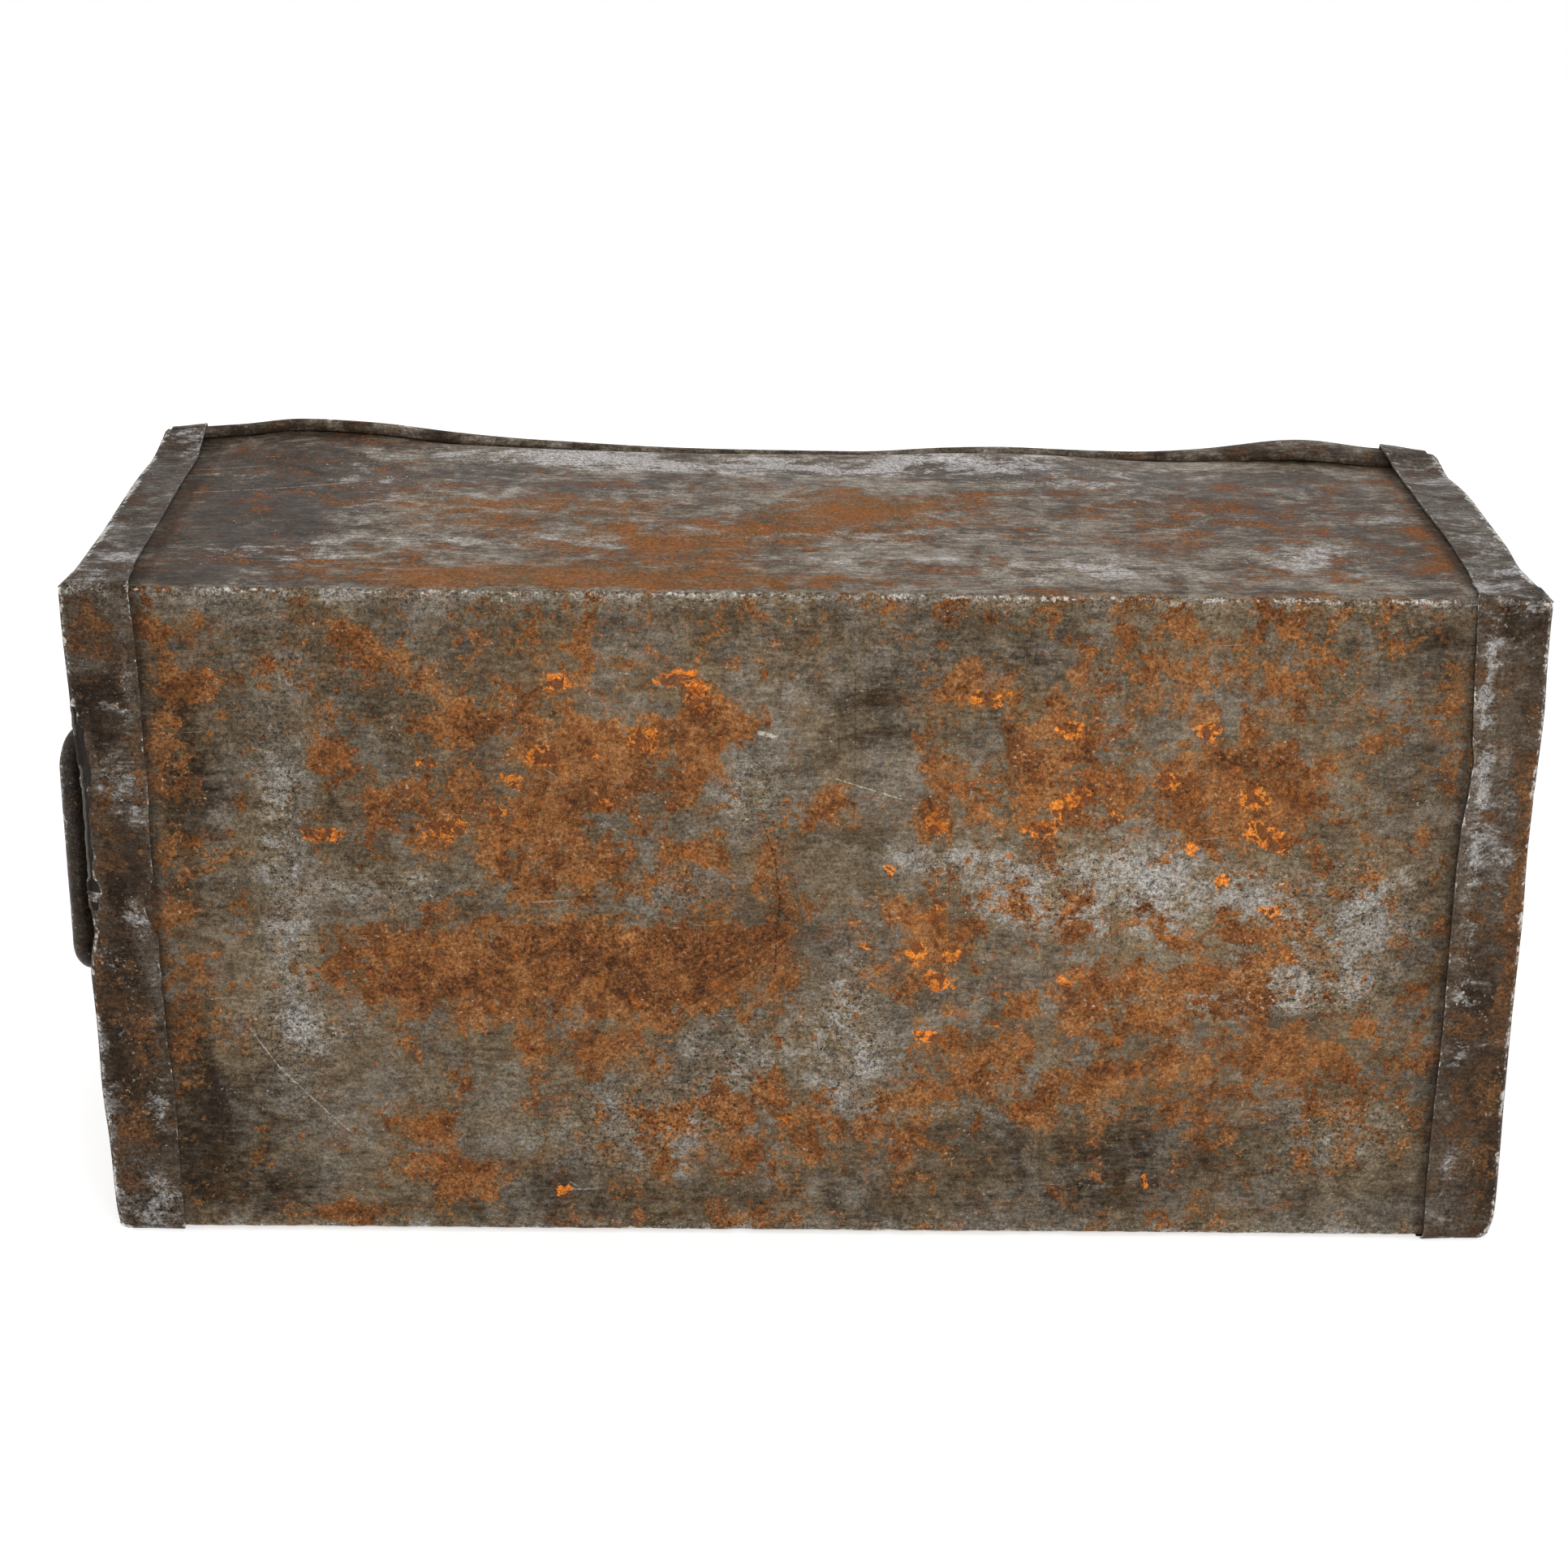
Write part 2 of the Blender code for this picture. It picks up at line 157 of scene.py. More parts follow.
cameraLook = {
    "place": (-29.1 * mm, -618.5 * mm, -1364.3 * mm),
    "turn": (158.258, 0.46, -0.755),          # degrees
    "lens": 70.31,                            # on the default 36 mm wide sensor
    "nearest": 10 * mm,
}
stageLook = {
    "size": 9.0,
    "gap": 0.2 * mm,                          # under the box and behind it
    "glow": 0.55,                             # lifts the pale stage to white for the camera
    "pale": (0.86, 0.86, 0.86, 1),
}
lightLook = {
    "white": (1, 1, 1, 1),
    "sky": 0.52,
    "lamps": (                                # name, place, watts, size
        ("front soft box", (-0.5, -2.4, 0.3), 5, 1.8),
        ("low soft box", (0.6, -1.0, -2.4), 26, 1.8),
        ("mouth soft box", (0.2, -0.9, 2.3), 4, 1.6),
        ("left strip", (-2.2, -0.4, -0.3), 9, 0.9),
        ("right strip", (2.2, -0.4, -0.3), 9, 0.9),
    ),
    "aim": (0, 0, 0.12),
}


def freshSelection():
    if bpy.context.mode != "OBJECT":
        bpy.ops.object.mode_set(mode="OBJECT")
    bpy.ops.object.select_all(action="DESELECT")


def makeActive(piece):
    freshSelection()
    piece.select_set(True)
    bpy.context.view_layer.objects.active = piece


def newMaterial(name):
    made = bpy.data.materials.new(name)
    made.use_nodes = True
    made.node_tree.nodes.clear()
    return made, Net(made.node_tree)


def seenRay(net):
    # 1 for rays the camera sees straight, mirrored or through glass
    path = net.put("LightPath").outputs
    seen = net.sums("ADD", path["Is Camera Ray"], path["Is Glossy Ray"])
    return net.sums("ADD", seen, path["Is Transmission Ray"], clamp=True)


def stageMaterial():
    # pale floor that keeps a shadow, is white for the camera and is seen from its front only
    made, net = newMaterial("pale stage")
    front = net.less(1.0, net.put("NewGeometry").outputs["Backfacing"])
    show = net.times(seenRay(net), front, clamp=True)
    diffuse = net.put("BsdfDiffuse", {"Color": stageLook["pale"]}).outputs[0]
    glow = net.put("Emission", {"Strength": stageLook["glow"]}).outputs[0]
    lit = net.put("AddShader", {0: diffuse, 1: glow}).outputs[0]
    clear = net.put("BsdfTransparent").outputs[0]
    net.put("OutputMaterial", {"Surface": net.put("MixShader", {0: show, 1: clear, 2: lit}).outputs[0]})
    return made


def addStage():
    pale = stageMaterial()
    flangeOut = capHigh.y - rollReach         # the box lies on its back flanges and its hooks
    lean = math.atan2(capHigh.y - flangeOut, capHigh.z - capLow.z)
    sheets = (
        ("floor", (0, 0, capLow.z - stageLook["gap"]), (0, 0, 0)),
        ("backdrop", (0, flangeOut + stageLook["gap"], capLow.z), (math.radians(90) - lean, 0, 0)),
    )
    for name, place, turn in sheets:
        freshSelection()
        bpy.ops.mesh.primitive_plane_add(size=stageLook["size"], location=place, rotation=turn)
        sheet = bpy.context.active_object
        sheet.name = name
        sheet.data.materials.append(pale)
        sheet.visible_shadow = False
    print("stage set")


def addLights():
    world = bpy.data.worlds.new("soft sky")
    bpy.context.scene.world = world
    world.use_nodes = True
    world.node_tree.nodes.clear()
    net = Net(world.node_tree)
    sky = net.put("Background", {"Color": lightLook["white"], "Strength": lightLook["sky"]}).outputs[0]
    backing = net.put("Background", {"Color": lightLook["white"]}).outputs[0]
    net.put("OutputWorld", {
        "Surface": net.put("MixShader", {0: seenRay(net), 1: sky, 2: backing}).outputs[0]})
    aim = Vector(lightLook["aim"])
    for name, place, watts, size in lightLook["lamps"]:
        lamp = bpy.data.lights.new(name, "AREA")
        lamp.energy = watts
        lamp.size = size
        holder = bpy.data.objects.new(name, lamp)
        holder.location = place
        holder.rotation_euler = (aim - Vector(place)).to_track_quat("-Z", "Y").to_euler()
        bpy.context.scene.collection.objects.link(holder)
    print("lights set")


def addCamera():
    lens = bpy.data.cameras.new("photo camera")
    lens.sensor_fit = "HORIZONTAL"
    lens.lens = cameraLook["lens"]
    lens.clip_start = cameraLook["nearest"]
    camera = bpy.data.objects.new("photo camera", lens)
    camera.location = cameraLook["place"]
    camera.rotation_euler = [math.radians(angle) for angle in cameraLook["turn"]]
    bpy.context.scene.collection.objects.link(camera)
    bpy.context.scene.camera = camera
    bpy.context.scene.view_settings.view_transform = "Standard"
    print("camera set")


addCamera()
addStage()
addLights()


# Hand tools for the sheet work

def addPrimitive(kind, name, place, stretch, **more):
    freshSelection()
    getattr(bpy.ops.mesh, "primitive_" + kind + "_add")(location=place, **more)
    piece = bpy.context.active_object
    piece.name = piece.data.name = name
    piece.scale = stretch
    bpy.ops.object.transform_apply(location=True, rotation=True, scale=True)
    return piece


def openForEdit(piece):
    makeActive(piece)
    bpy.ops.object.mode_set(mode="EDIT")


def choose(kind, test):
    # select elements of the piece in edit mode by their place, and say how many there are
    bpy.ops.mesh.select_mode(type=kind)
    bpy.ops.mesh.select_all(action="DESELECT")
    mesh = bpy.context.edit_object.data
    bm = bmesh.from_edit_mesh(mesh)
    bm.normal_update()
    count = 0
    for item in {"VERT": bm.verts, "EDGE": bm.edges, "FACE": bm.faces}[kind]:
        if test(item):
            item.select_set(True)
            count += 1
    bmesh.update_edit_mesh(mesh)
    return count


def middle(edge):
    return (edge.verts[0].co + edge.verts[1].co) / 2


def runs(edge, axis, least=0.0):
    # an edge along one axis, at least so long
    run = edge.verts[1].co - edge.verts[0].co
    return abs(run[axis]) > 0.99 * run.length and run.length > least


def cutEdges(axis, least, *counts):
    # divide the edges that run along an axis and are long enough, once for each count
    for count in counts:
        choose("EDGE", lambda edge: runs(edge, axis, least))
        bpy.ops.mesh.subdivide(number_cuts=count)


def extrude(move):
    bpy.ops.mesh.extrude_region_move(TRANSFORM_OT_translate={"value": move})


def spin(steps, degrees, centre, axis):
    bpy.ops.mesh.spin(steps=steps, angle=math.radians(degrees), center=centre, axis=axis)


def bevel(offset, segments, kind="EDGES"):
    bpy.ops.mesh.bevel(offset=offset, segments=segments, affect=kind)


def closeEdit():
    bpy.ops.mesh.select_all(action="SELECT")
    bpy.ops.mesh.remove_doubles(threshold=0.01 * mm)
    bpy.ops.mesh.normals_make_consistent(inside=False)
    bpy.ops.object.mode_set(mode="OBJECT")


def applyModifier(piece, kind, **settings):
    makeActive(piece)
    added = piece.modifiers.new(kind.lower(), kind)
    for key, value in settings.items():
        setattr(added, key, value)
    bpy.ops.object.modifier_apply(modifier=added.name)


def smoothShade(piece, degrees=40):
    makeActive(piece)
    bpy.ops.object.shade_smooth_by_angle(angle=math.radians(degrees))


def readVectors(values, kind):
    read = np.empty(len(values) * 3)
    values.foreach_get(kind, read)
    return read.reshape(-1, 3)


def readPoints(piece):
    return readVectors(piece.data.vertices, "co")


def readNormals(piece):
    return readVectors(piece.data.vertices, "normal")


def writePoints(piece, points):
    piece.data.vertices.foreach_set("co", np.asarray(points, float).ravel())
    piece.data.update()


boxCore = ((-340 * mm, -165 * mm, 6 * mm), (340 * mm, 165 * mm, 1))      # inside the box, open at the top


def markShells(piece):
    # 1 on the shell of a thickened sheet that looks away from the inside of the box, 0 on the other
    points = readPoints(piece)
    away = points - np.clip(points, *boxCore)
    facing = (away * readNormals(piece)).sum(axis=1)
    half = len(points) // 2
    outer = np.arange(len(points)) < half
    if facing[:half].sum() < facing[half:].sum():
        outer = ~outer
    kept = piece.data.attributes.new("outside", "FLOAT", "POINT")
    kept.data.foreach_set("value", outer.astype(np.float32))


def keepStraightPlace(piece):
    # remember where each point was in the straight box
    kept = piece.data.attributes.new("straight", "FLOAT_VECTOR", "POINT")
    kept.data.foreach_set("vector", readPoints(piece).ravel())


def straightPlace(piece):
    return readVectors(piece.data.attributes["straight"].data, "vector")


def rise(values, start, end):
    # smooth step from 0 at start to 1 at end
    share = np.clip((values - start) / (end - start), 0, 1)
    return share * share * (3 - 2 * share)


def drawn(stations, column, values, blur=9 * mm):
    # a smooth line through the given stations, in millimetres
    margin = 30
    table = np.array(stations, float) * mm
    fine = np.arange(table[0, 0] - margin * mm, table[-1, 0] + margin * mm, mm)
    line = np.interp(fine, table[:, 0], table[:, column])
    weights = np.exp(-0.5 * (np.arange(-margin, margin + 1) * mm / blur) ** 2)
    line = np.convolve(np.pad(line, margin, mode="edge"), weights / weights.sum(), mode="valid")
    return np.interp(values, fine, line)


def waves(values, table):
    # sum of sine waves, each with its height in mm, its turn per metre and its start
    return sum(height * np.sin(values * turn + start) for height, turn, start in table) * mm


def ripple(points, size, seed):
    # slow unevenness from -1 to 1
    shift = Vector((seed * 3.1, seed * 1.7, seed * 2.3))
    return np.array([noise.noise(Vector(point) / size + shift) for point in points])


# Damage of the whole box: one bend field moves the body sheet, the rim wires and the end caps, so that laps stay
# together

frontRim = (             # x, wall pushed in, roll pushed in, roll hanging down, all in mm
    (-345, 2.5, 1.5, 0), (-317, 2, -0.7, 0), (-299, -1, -1.8, 0), (-281, -3.5, -5.2, 0), (-264, -4.1, -5, 0),
    (-228, -3.1, -3, 0), (-193, -1.6, 1.6, 0), (-157, -0.4, 4.9, 0), (-121, 0.7, 6.8, 0), (-86, 1.2, 8.7, 0),
    (-50, 1.6, 9.7, 0), (4, 1.3, 10.1, 0), (40, 1.4, 10.2, 0), (75, -0.2, 7.5, 0), (111, -0.4, 6.6, 0),
    (147, 1.2, 8.1, 0), (183, 3.6, 8.8, 1), (201, 4.4, 8, 3), (219, 4.1, 6.6, 6), (237, 3.5, 4.2, 10),
    (254, 2.9, 1.6, 14), (272, 2.6, 0, 17), (290, 3.1, 1.7, 17), (309, 5.1, 5, 14), (345, 5.6, 6.2, 12),
)
leftFrontEdge = (        # z, panel pushed along x, in mm
    (-2, -2.6), (12, 0.2), (50, 0.4), (100, 0.8), (160, 0.4), (213, 0), (244, 1), (266, 2),
)
leftBottomEdge = (       # y, panel pushed along x, in mm
    (-172, -2), (-140, -0.6), (-103, 0.2), (-74, 2.6), (-23, 2.3), (-5, 2.2), (6, 3.6), (24, -0.4),
    (58, 0.8), (93, 0.8), (120, 2.3), (160, 2.3), (172, 4),
)
rightFrontEdge = (
    (-2, 0), (11, -0.4), (32, -2), (54, -3.6), (88, -1.6), (150, -1.6), (210, -1), (240, -2), (255, -3.5),
    (268, -4.5),
)
rightBottomEdge = (
    (-172, -1.6), (-151, 0.3), (-117, 1.6), (-74, 0.7), (-41, 0.6), (-8, 2), (44, 2.1), (81, 2.6),
    (117, 3.4), (149, 3.3), (162, 2.9), (172, -0.6),
)
crease = {               # dent line across the bottom
    "line": ((-22, -62), (-21, -48), (-17, -33), (-14.6, -21), (-15.2, 0), (-14.9, 23), (-12.4, 32),
             (-5.8, 44), (-2, 52), (2, 66)),
    "depth": 1.1 * mm,
    "width": 4 * mm,
    "dish": 34 * mm,
    "dishSide": (-12 * mm, 10 * mm),          # x from the line, the dish lies on one side
    "dishShare": 0.9,
    "ends": (-64 * mm, -40 * mm, 45 * mm, 68 * mm),     # y, where it sets in and runs out
}
floorWaves = {"height": 0.9 * mm, "size": 90 * mm, "y": (125 * mm, 162 * mm), "x": (285 * mm, 318 * mm),
              "below": 3 * mm}
endKnocks = {
    "reach": (318 * mm, 344 * mm),  # along x, where the knocks set in and are whole
    "inwards": 70 * mm,             # from the front and the back wall
    "upwards": 60 * mm,             # from the bottom
    "blur": (6 * mm, 4 * mm),       # along the front edge and the bottom edge
    "backWaves": ((1.6, 31, 1), (-0.9, 63, 0)),
}
rimBend = {
    "wall": (165 * mm, 247 * mm),   # z, where the wall's push sets in and is whole
    "roll": (247 * mm, 260.5 * mm),
    "rollFoot": 257 * mm,
    "rollGap": 0.3 * mm,            # from the wall's outer face
    "inwards": (20 * mm, 150 * mm),           # y, from the middle to the wall
    "hangTop": 263.8 * mm,
    "hangOver": 5 * mm,             # height over which the hanging lip fades out
    "hangIn": 0.12,                 # share of the hang by which it also moves in
    "backWaves": ((1.8, 13.7, 0.6), (1.1, 29.3, 2.1)),
    "backFrom": 150 * mm,
}
frontSwells = (          # x, z, their two reaches and the depth inwards, in mm
    (190, 110, 80, 60, 1.6), (-60, 150, 170, 55, -1.2),
)
mouthCorner = {          # the ends' mouth edges are sunk
    "z": 235 * mm,
    "x": (325 * mm, 350 * mm),
    "back": 2 * mm,
    "front": (1.5 * mm, 6 * mm),              # at the left and the right end
    "y": (-110 * mm, 150 * mm),
}
wallTop = 262.3 * mm
halfWidth = bodyHigh.y - rollReach            # outer face of the front and back walls


def pushEnds(points):
    # knocks on the two ends, strongest at their front, bottom and mouth edges
    x, y, z = points.T
    look = endKnocks
    nearFront = 1 - rise(y, -halfWidth, -halfWidth + look["inwards"])
    nearBottom = 1 - rise(z, 0, look["upwards"])
    nearBack = rise(y, halfWidth - look["inwards"], halfWidth)
    push = np.zeros(len(points))
    for side, frontEdge, bottomEdge in ((-1, leftFrontEdge, leftBottomEdge),
                                        (1, rightFrontEdge, rightBottomEdge)):
        front, bottom = drawn(frontEdge, 1, z, look["blur"][0]), drawn(bottomEdge, 1, y, look["blur"][1])
        here = front * nearFront + bottom * nearBottom * (1 - nearFront) + waves(z, look["backWaves"]) * nearBack
        push = np.where(x * side > 0, here, push)
    return push * rise(np.abs(x), *look["reach"])


def bendBox(points):
    x, y, z = points.T
    moved = points.copy()
    look, corner = rimBend, mouthCorner
    front = y < 0
    onRoll = (np.abs(y) > halfWidth + look["rollGap"]) & (z > look["rollFoot"])
    wallPush, rollPush, hang = (drawn(frontRim, column, x) for column in (1, 2, 3))
    wallShare = rise(z, *look["wall"])
    rollShare = np.where(onRoll, 1, rise(z, *look["roll"]))
    inFront = rise(-y, *look["inwards"])
    moved[:, 1] += np.where(front, (wallPush * wallShare + (rollPush - wallPush) * rollShare) * inFront, 0)
    lower = np.where(onRoll, np.clip((look["hangTop"] - z) / look["hangOver"], 0, 1), 0)
    moved[:, 2] -= np.where(front, hang * lower, 0)
    moved[:, 1] += np.where(front & onRoll, look["hangIn"] * hang * lower, 0)
    backShare = rise(z, look["backFrom"], wallTop) * rise(y, *look["inwards"])
    moved[:, 1] += np.where(~front, waves(x, look["backWaves"]) * backShare, 0)
    for dx, dz, wide, high, depth in frontSwells:
        swell = np.exp(-(((x - dx * mm) / (wide * mm)) ** 2 + ((z - dz * mm) / (high * mm)) ** 2))
        moved[:, 1] += np.where(front, depth * mm * swell * inFront, 0)
    moved[:, 0] += pushEnds(points)
    mouth = rise(z, corner["z"], wallTop) * rise(np.abs(x), *corner["x"])
    frontSink = np.where(x > 0, corner["front"][1], corner["front"][0])
    moved[:, 2] -= mouth * (corner["back"] + (frontSink - corner["back"]) * rise(-y, *corner["y"]))
    return moved


def dentFloor(points):
    # the flat bottom only: soft waves and the creased dent
    x, y, z = points.T
    flat = (1 - rise(np.abs(y), *floorWaves["y"])) * (1 - rise(np.abs(x), *floorWaves["x"]))
    flat *= z < floorWaves["below"]
    lift = floorWaves["height"] * ripple(points, floorWaves["size"], 3) * flat
    line = np.array(crease["line"], float) * mm
    start, whole, fading, end = crease["ends"]
    along = rise(y, start, whole) * (1 - rise(y, fading, end))
    aside = x - np.interp(y, line[:, 1], line[:, 0])
    groove = np.exp(-(aside / crease["width"]) ** 2)
    dish = np.exp(-(aside / crease["dish"]) ** 2) * rise(aside, *crease["dishSide"])
    lift += along * crease["depth"] * (groove + crease["dishShare"] * dish)
    moved = points.copy()
    moved[:, 2] += lift
    return moved


# Body sheet

longEdge = 20 * mm       # shorter edges belong to bends and stay whole
bodySheet = {
    "gauge": 1 * mm,
    "foldRadius": 3.2 * mm,         # to the middle of the sheet, as are the others
    "rollRadius": 3.2 * mm,
    "rollTurn": 300,
    "rollSteps": 15,
    "lengthCuts": (13, 12),
    "floorCuts": (8, 8),
    "wallCuts": (7, 7),
    "raggedFold": 0.35 * mm,
    "foldReach": (4 * mm, 6 * mm),            # up the wall and in from it
    "chipSize": 7 * mm,
}
rollY = bodyHigh.y - bodySheet["rollRadius"] - bodySheet["gauge"] / 2
rollZ = bodyHigh.z - bodySheet["rollRadius"] - bodySheet["gauge"] / 2


def makeBodySheet(node):
    look = bodySheet
    floorZ = bodyLow.z + look["gauge"] / 2
    wallY = rollY - look["rollRadius"]
    length = bodyHigh.x - bodyLow.x
    piece = addPrimitive("plane", "worn_" + node, (0, 0, floorZ), (length, 2 * wallY, 1), size=1)
    openForEdit(piece)
    choose("EDGE", lambda edge: runs(edge, 0))
    extrude((0, 0, rollZ - floorZ))
    choose("EDGE", lambda edge: runs(edge, 0) and middle(edge).z < 0)
    bevel(look["foldRadius"], 4)
    for side in (-1, 1):
        choose("EDGE", lambda edge: runs(edge, 0) and middle(edge).z > rollZ - mm
               and middle(edge).y * side > 0)
        spin(look["rollSteps"], look["rollTurn"], (0, side * rollY, rollZ), (side, 0, 0))
    for axis, key in ((1, "floorCuts"), (2, "wallCuts"), (0, "lengthCuts")):
        cutEdges(axis, longEdge, *look[key])
    closeEdit()
    keepStraightPlace(piece)
    points = readPoints(piece)
    high, inwards = look["foldReach"]
    folds = np.exp(-((points[:, 2] - floorZ) / high) ** 2) * rise(np.abs(points[:, 1]), wallY - inwards, wallY)
    chips = ripple(points, look["chipSize"], 1) * folds
    points = bendBox(dentFloor(points))
    points[:, 1] += np.sign(points[:, 1]) * chips * look["raggedFold"]
    points[:, 2] -= chips * look["raggedFold"]
    writePoints(piece, points)
    applyModifier(piece, "SOLIDIFY", thickness=look["gauge"], offset=0, use_quality_normals=True)
    markShells(piece)
    smoothShade(piece)
    print(node, "made:", len(piece.data.polygons), "faces")
    return piece


# Rim wires

rimWire = {"radius": 2.4 * mm, "sides": 16, "setback": 2 * mm, "cuts": (9, 9), "edge": 0.4 * mm,
           "heldAt": 2 * mm}        # out from the roll's middle, where its bend is taken


def makeRimWire(node, side):
    look = rimWire
    reach = bodyHigh.x - look["setback"]
    piece = addPrimitive("cylinder", "worn_" + node, (0, side * rollY, rollZ), (1, 1, 1),
                         vertices=look["sides"], radius=look["radius"], depth=2 * reach,
                         rotation=(0, math.radians(90), 0))
    openForEdit(piece)
    cutEdges(0, longEdge, *look["cuts"])
    choose("EDGE", lambda edge: abs(abs(middle(edge).x) - reach) < 0.1 * mm)
    bevel(look["edge"], 2)
    closeEdit()
    keepStraightPlace(piece)
    points = readPoints(piece)
    centre = points.copy()                    # the whole wire moves as its middle line does
    centre[:, 1:] = side * (rollY + look["heldAt"]), rollZ
    writePoints(piece, points + (bendBox(centre) - centre))
    smoothShade(piece)
    return piece


# End caps

endCap = {
    "gauge": 1 * mm,
    "bend": 4.5 * mm,
    "bendSteps": 5,
    "lap": 36 * mm,
    "hookRadius": 4.5 * mm,
    "hookStart": -65,
    "hookTurn": 245,
    "hookSteps": 12,
    "rollRadius": 1.8 * mm,
    "rollTurn": 270,
    "rollSteps": 9,
    "flangeCuts": (11,),
    "panelCuts": (11, 10),
    "heightCuts": (9, 9),
    "spring": (0.45 * mm, 0.95 * mm),         # how far the left and the right flange stand off
    "uneven": 0.35 * mm,            # of the flange's edge, its spring and its face, over these lengths
    "unevenOver": (3.2 * mm, 22 * mm, 30 * mm),
    "edgeBlur": (1.6 * mm, 5 * mm, 8 * mm),   # of the bottom, the front and the back edge
    "uprightOver": 6 * mm,
    "sideOver": 4 * mm,
    "wrap": (218 * mm, 0.4 * mm),   # z where the flange starts to reach the hook, rest under the hook
    "dentsWithin": 3 * mm,          # of the flange's face
    "cornerSwell": (0.75 * mm, 2.6 * mm),     # height and half width
}
leftBottomReach = (      # y, x of the flange's ragged edge, in mm
    (-172, -318.4), (-155, -317.4), (-139, -316.6), (-120, -316.1), (-86, -316.1), (-73, -315),
    (-53, -315.9), (-34, -316), (-21.6, -315.4), (-17, -317.6), (-13.4, -321.6), (-7, -320.6), (1.8, -318),
    (8.8, -314.9), (21, -315.5), (29, -314.7), (33, -315.9), (41, -314.7), (58, -314.6), (72, -313.8),
    (88, -312.3), (111, -312.1), (137, -312), (155, -311.8), (172, -311),
)
leftFrontReach = (       # z, x
    (-2, -318.6), (24, -321.3), (76, -322.4), (126, -322.6), (172, -323.2), (200, -323.3), (243, -324.6),
    (268, -325.6),
)
rightBottomReach = (
    (-172, 312.8), (-154, 314.2), (-140, 314.8), (-125, 315.4), (-108, 316.7), (-99, 317.2), (-92, 318.9),
    (-85, 318.4), (-73, 317.7), (-57, 316.1), (-36, 315.7), (9, 316.4), (52, 317.2), (83, 316.9),
    (112, 316.6), (140, 317), (172, 318.1),
)
rightFrontReach = (
    (-2, 314.8), (10, 315.2), (40, 317.6), (75, 318.4), (110, 318.2), (157, 316.8), (195, 317.7),
    (221, 319.7), (247, 317.6), (268, 317),
)
backReach = ((-2, 315), (60, 316.5), (120, 315.2), (180, 317), (230, 316.2), (268, 319))
tornSeam = (             # y from, y to in mm, rows of the bend from the panel's side
    (-111, -101, (2,)), (-101, -96, (2, 3)), (-96, -80, (1, 2, 3)), (-80, -70, (2, 3)), (-70, -21, (2,)),
    (-21, -16, (1, 2)), (-11, -5, (2,)),
)
seamLips = {             # the flange's lip stands back and down, the panel's stands out
    "blur": 2 * mm,
    "uneven": (0.8, 0.9, 5 * mm),   # share, gain and size
    "above": 9 * mm,                # the bend's middle line
    "within": 125 * mm,
    "lower": 6 * mm,
    "upper": (-3 * mm, 2 * mm),
    "back": 1.3,
    "out": 0.7,
    "down": 0.3,
}
seamOpening = (          # y, how far the two lips of the seam stand apart, in mm
    (-118, 0), (-110, 1), (-99, 2.2), (-88, 3), (-78, 2.2), (-66, 1.2), (-50, 0.9), (-24, 1.4), (-18, 2.6),
    (-10, 2), (-2, 0.8), (6, 0),
)
flangeDents = (          # side, x, y, z, radius, depth inwards, in mm
    (1, 336, -160, -1.8, 8, 1.5), (1, 340, -171, 4, 7, 1.6), (1, 325, -171, 24, 12, 1.2),
    (1, 345, -150, 2, 6, 1), (-1, 340, -171, 22, 14, -0.8), (-1, 330, -171, 90, 20, 0.7),
    (1, 330, -171, 60, 16, 0.9), (1, 338, 150, -1.8, 12, 0.9), (-1, 335, 120, -1.8, 16, 0.5),
)
cornerTab = {
    "height": 21 * mm,
    "gauge": 0.7 * mm,
    "proud": 0.85 * mm,
    "cuts": (12, 10),
    "flat": 0.86,                   # share that lies flat
    "wrap": 62,                     # degrees wrapped round the bend
    "arc": 0.93,                    # share of a whole arc, of the fourth power
    "lift": 3 * mm,
    "edgeAt": 8 * mm,               # z, where the side flange's edge is taken
    "start": (0.3 * mm, -0.6 * mm),           # from that edge and from the bend's middle line
    "uneven": (0.25 * mm, 9 * mm),            # of its face, over this length
    "rimUneven": (0.8 * mm, 6 * mm),
    "rimFrom": 12 * mm,
}
bendFace = 18                                 # degrees of one of the bend's five faces
panelX = capHigh.x - 2 * endCap["rollRadius"] - endCap["gauge"] / 2
flangeZ = capLow.z + endCap["gauge"] / 2
startAngle = math.radians(endCap["hookStart"])
flangeY = rollY - endCap["hookRadius"] * math.cos(startAngle)
hookZ = rollZ + endCap["hookRadius"] * math.sin(startAngle)
curlZ = bodyHigh.z - endCap["rollRadius"] - endCap["gauge"] / 2
reachX = panelX + endCap["gauge"] / 2 - endCap["lap"]
bendX, bendZ = panelX - endCap["bend"], flangeZ + endCap["bend"]


def isTorn(face, side):
    # the left bend between bottom and panel has lost these faces to rust and knocks
    spot = face.calc_center_median()
    if side > 0 or abs(spot.x) < bendX or spot.z > bendZ:
        return False
    row = int(math.degrees(math.atan2(bendZ - spot.z, abs(spot.x) - bendX)) // bendFace)
    return any(low < spot.y / mm < high and row in rows for low, high, rows in tornSeam)


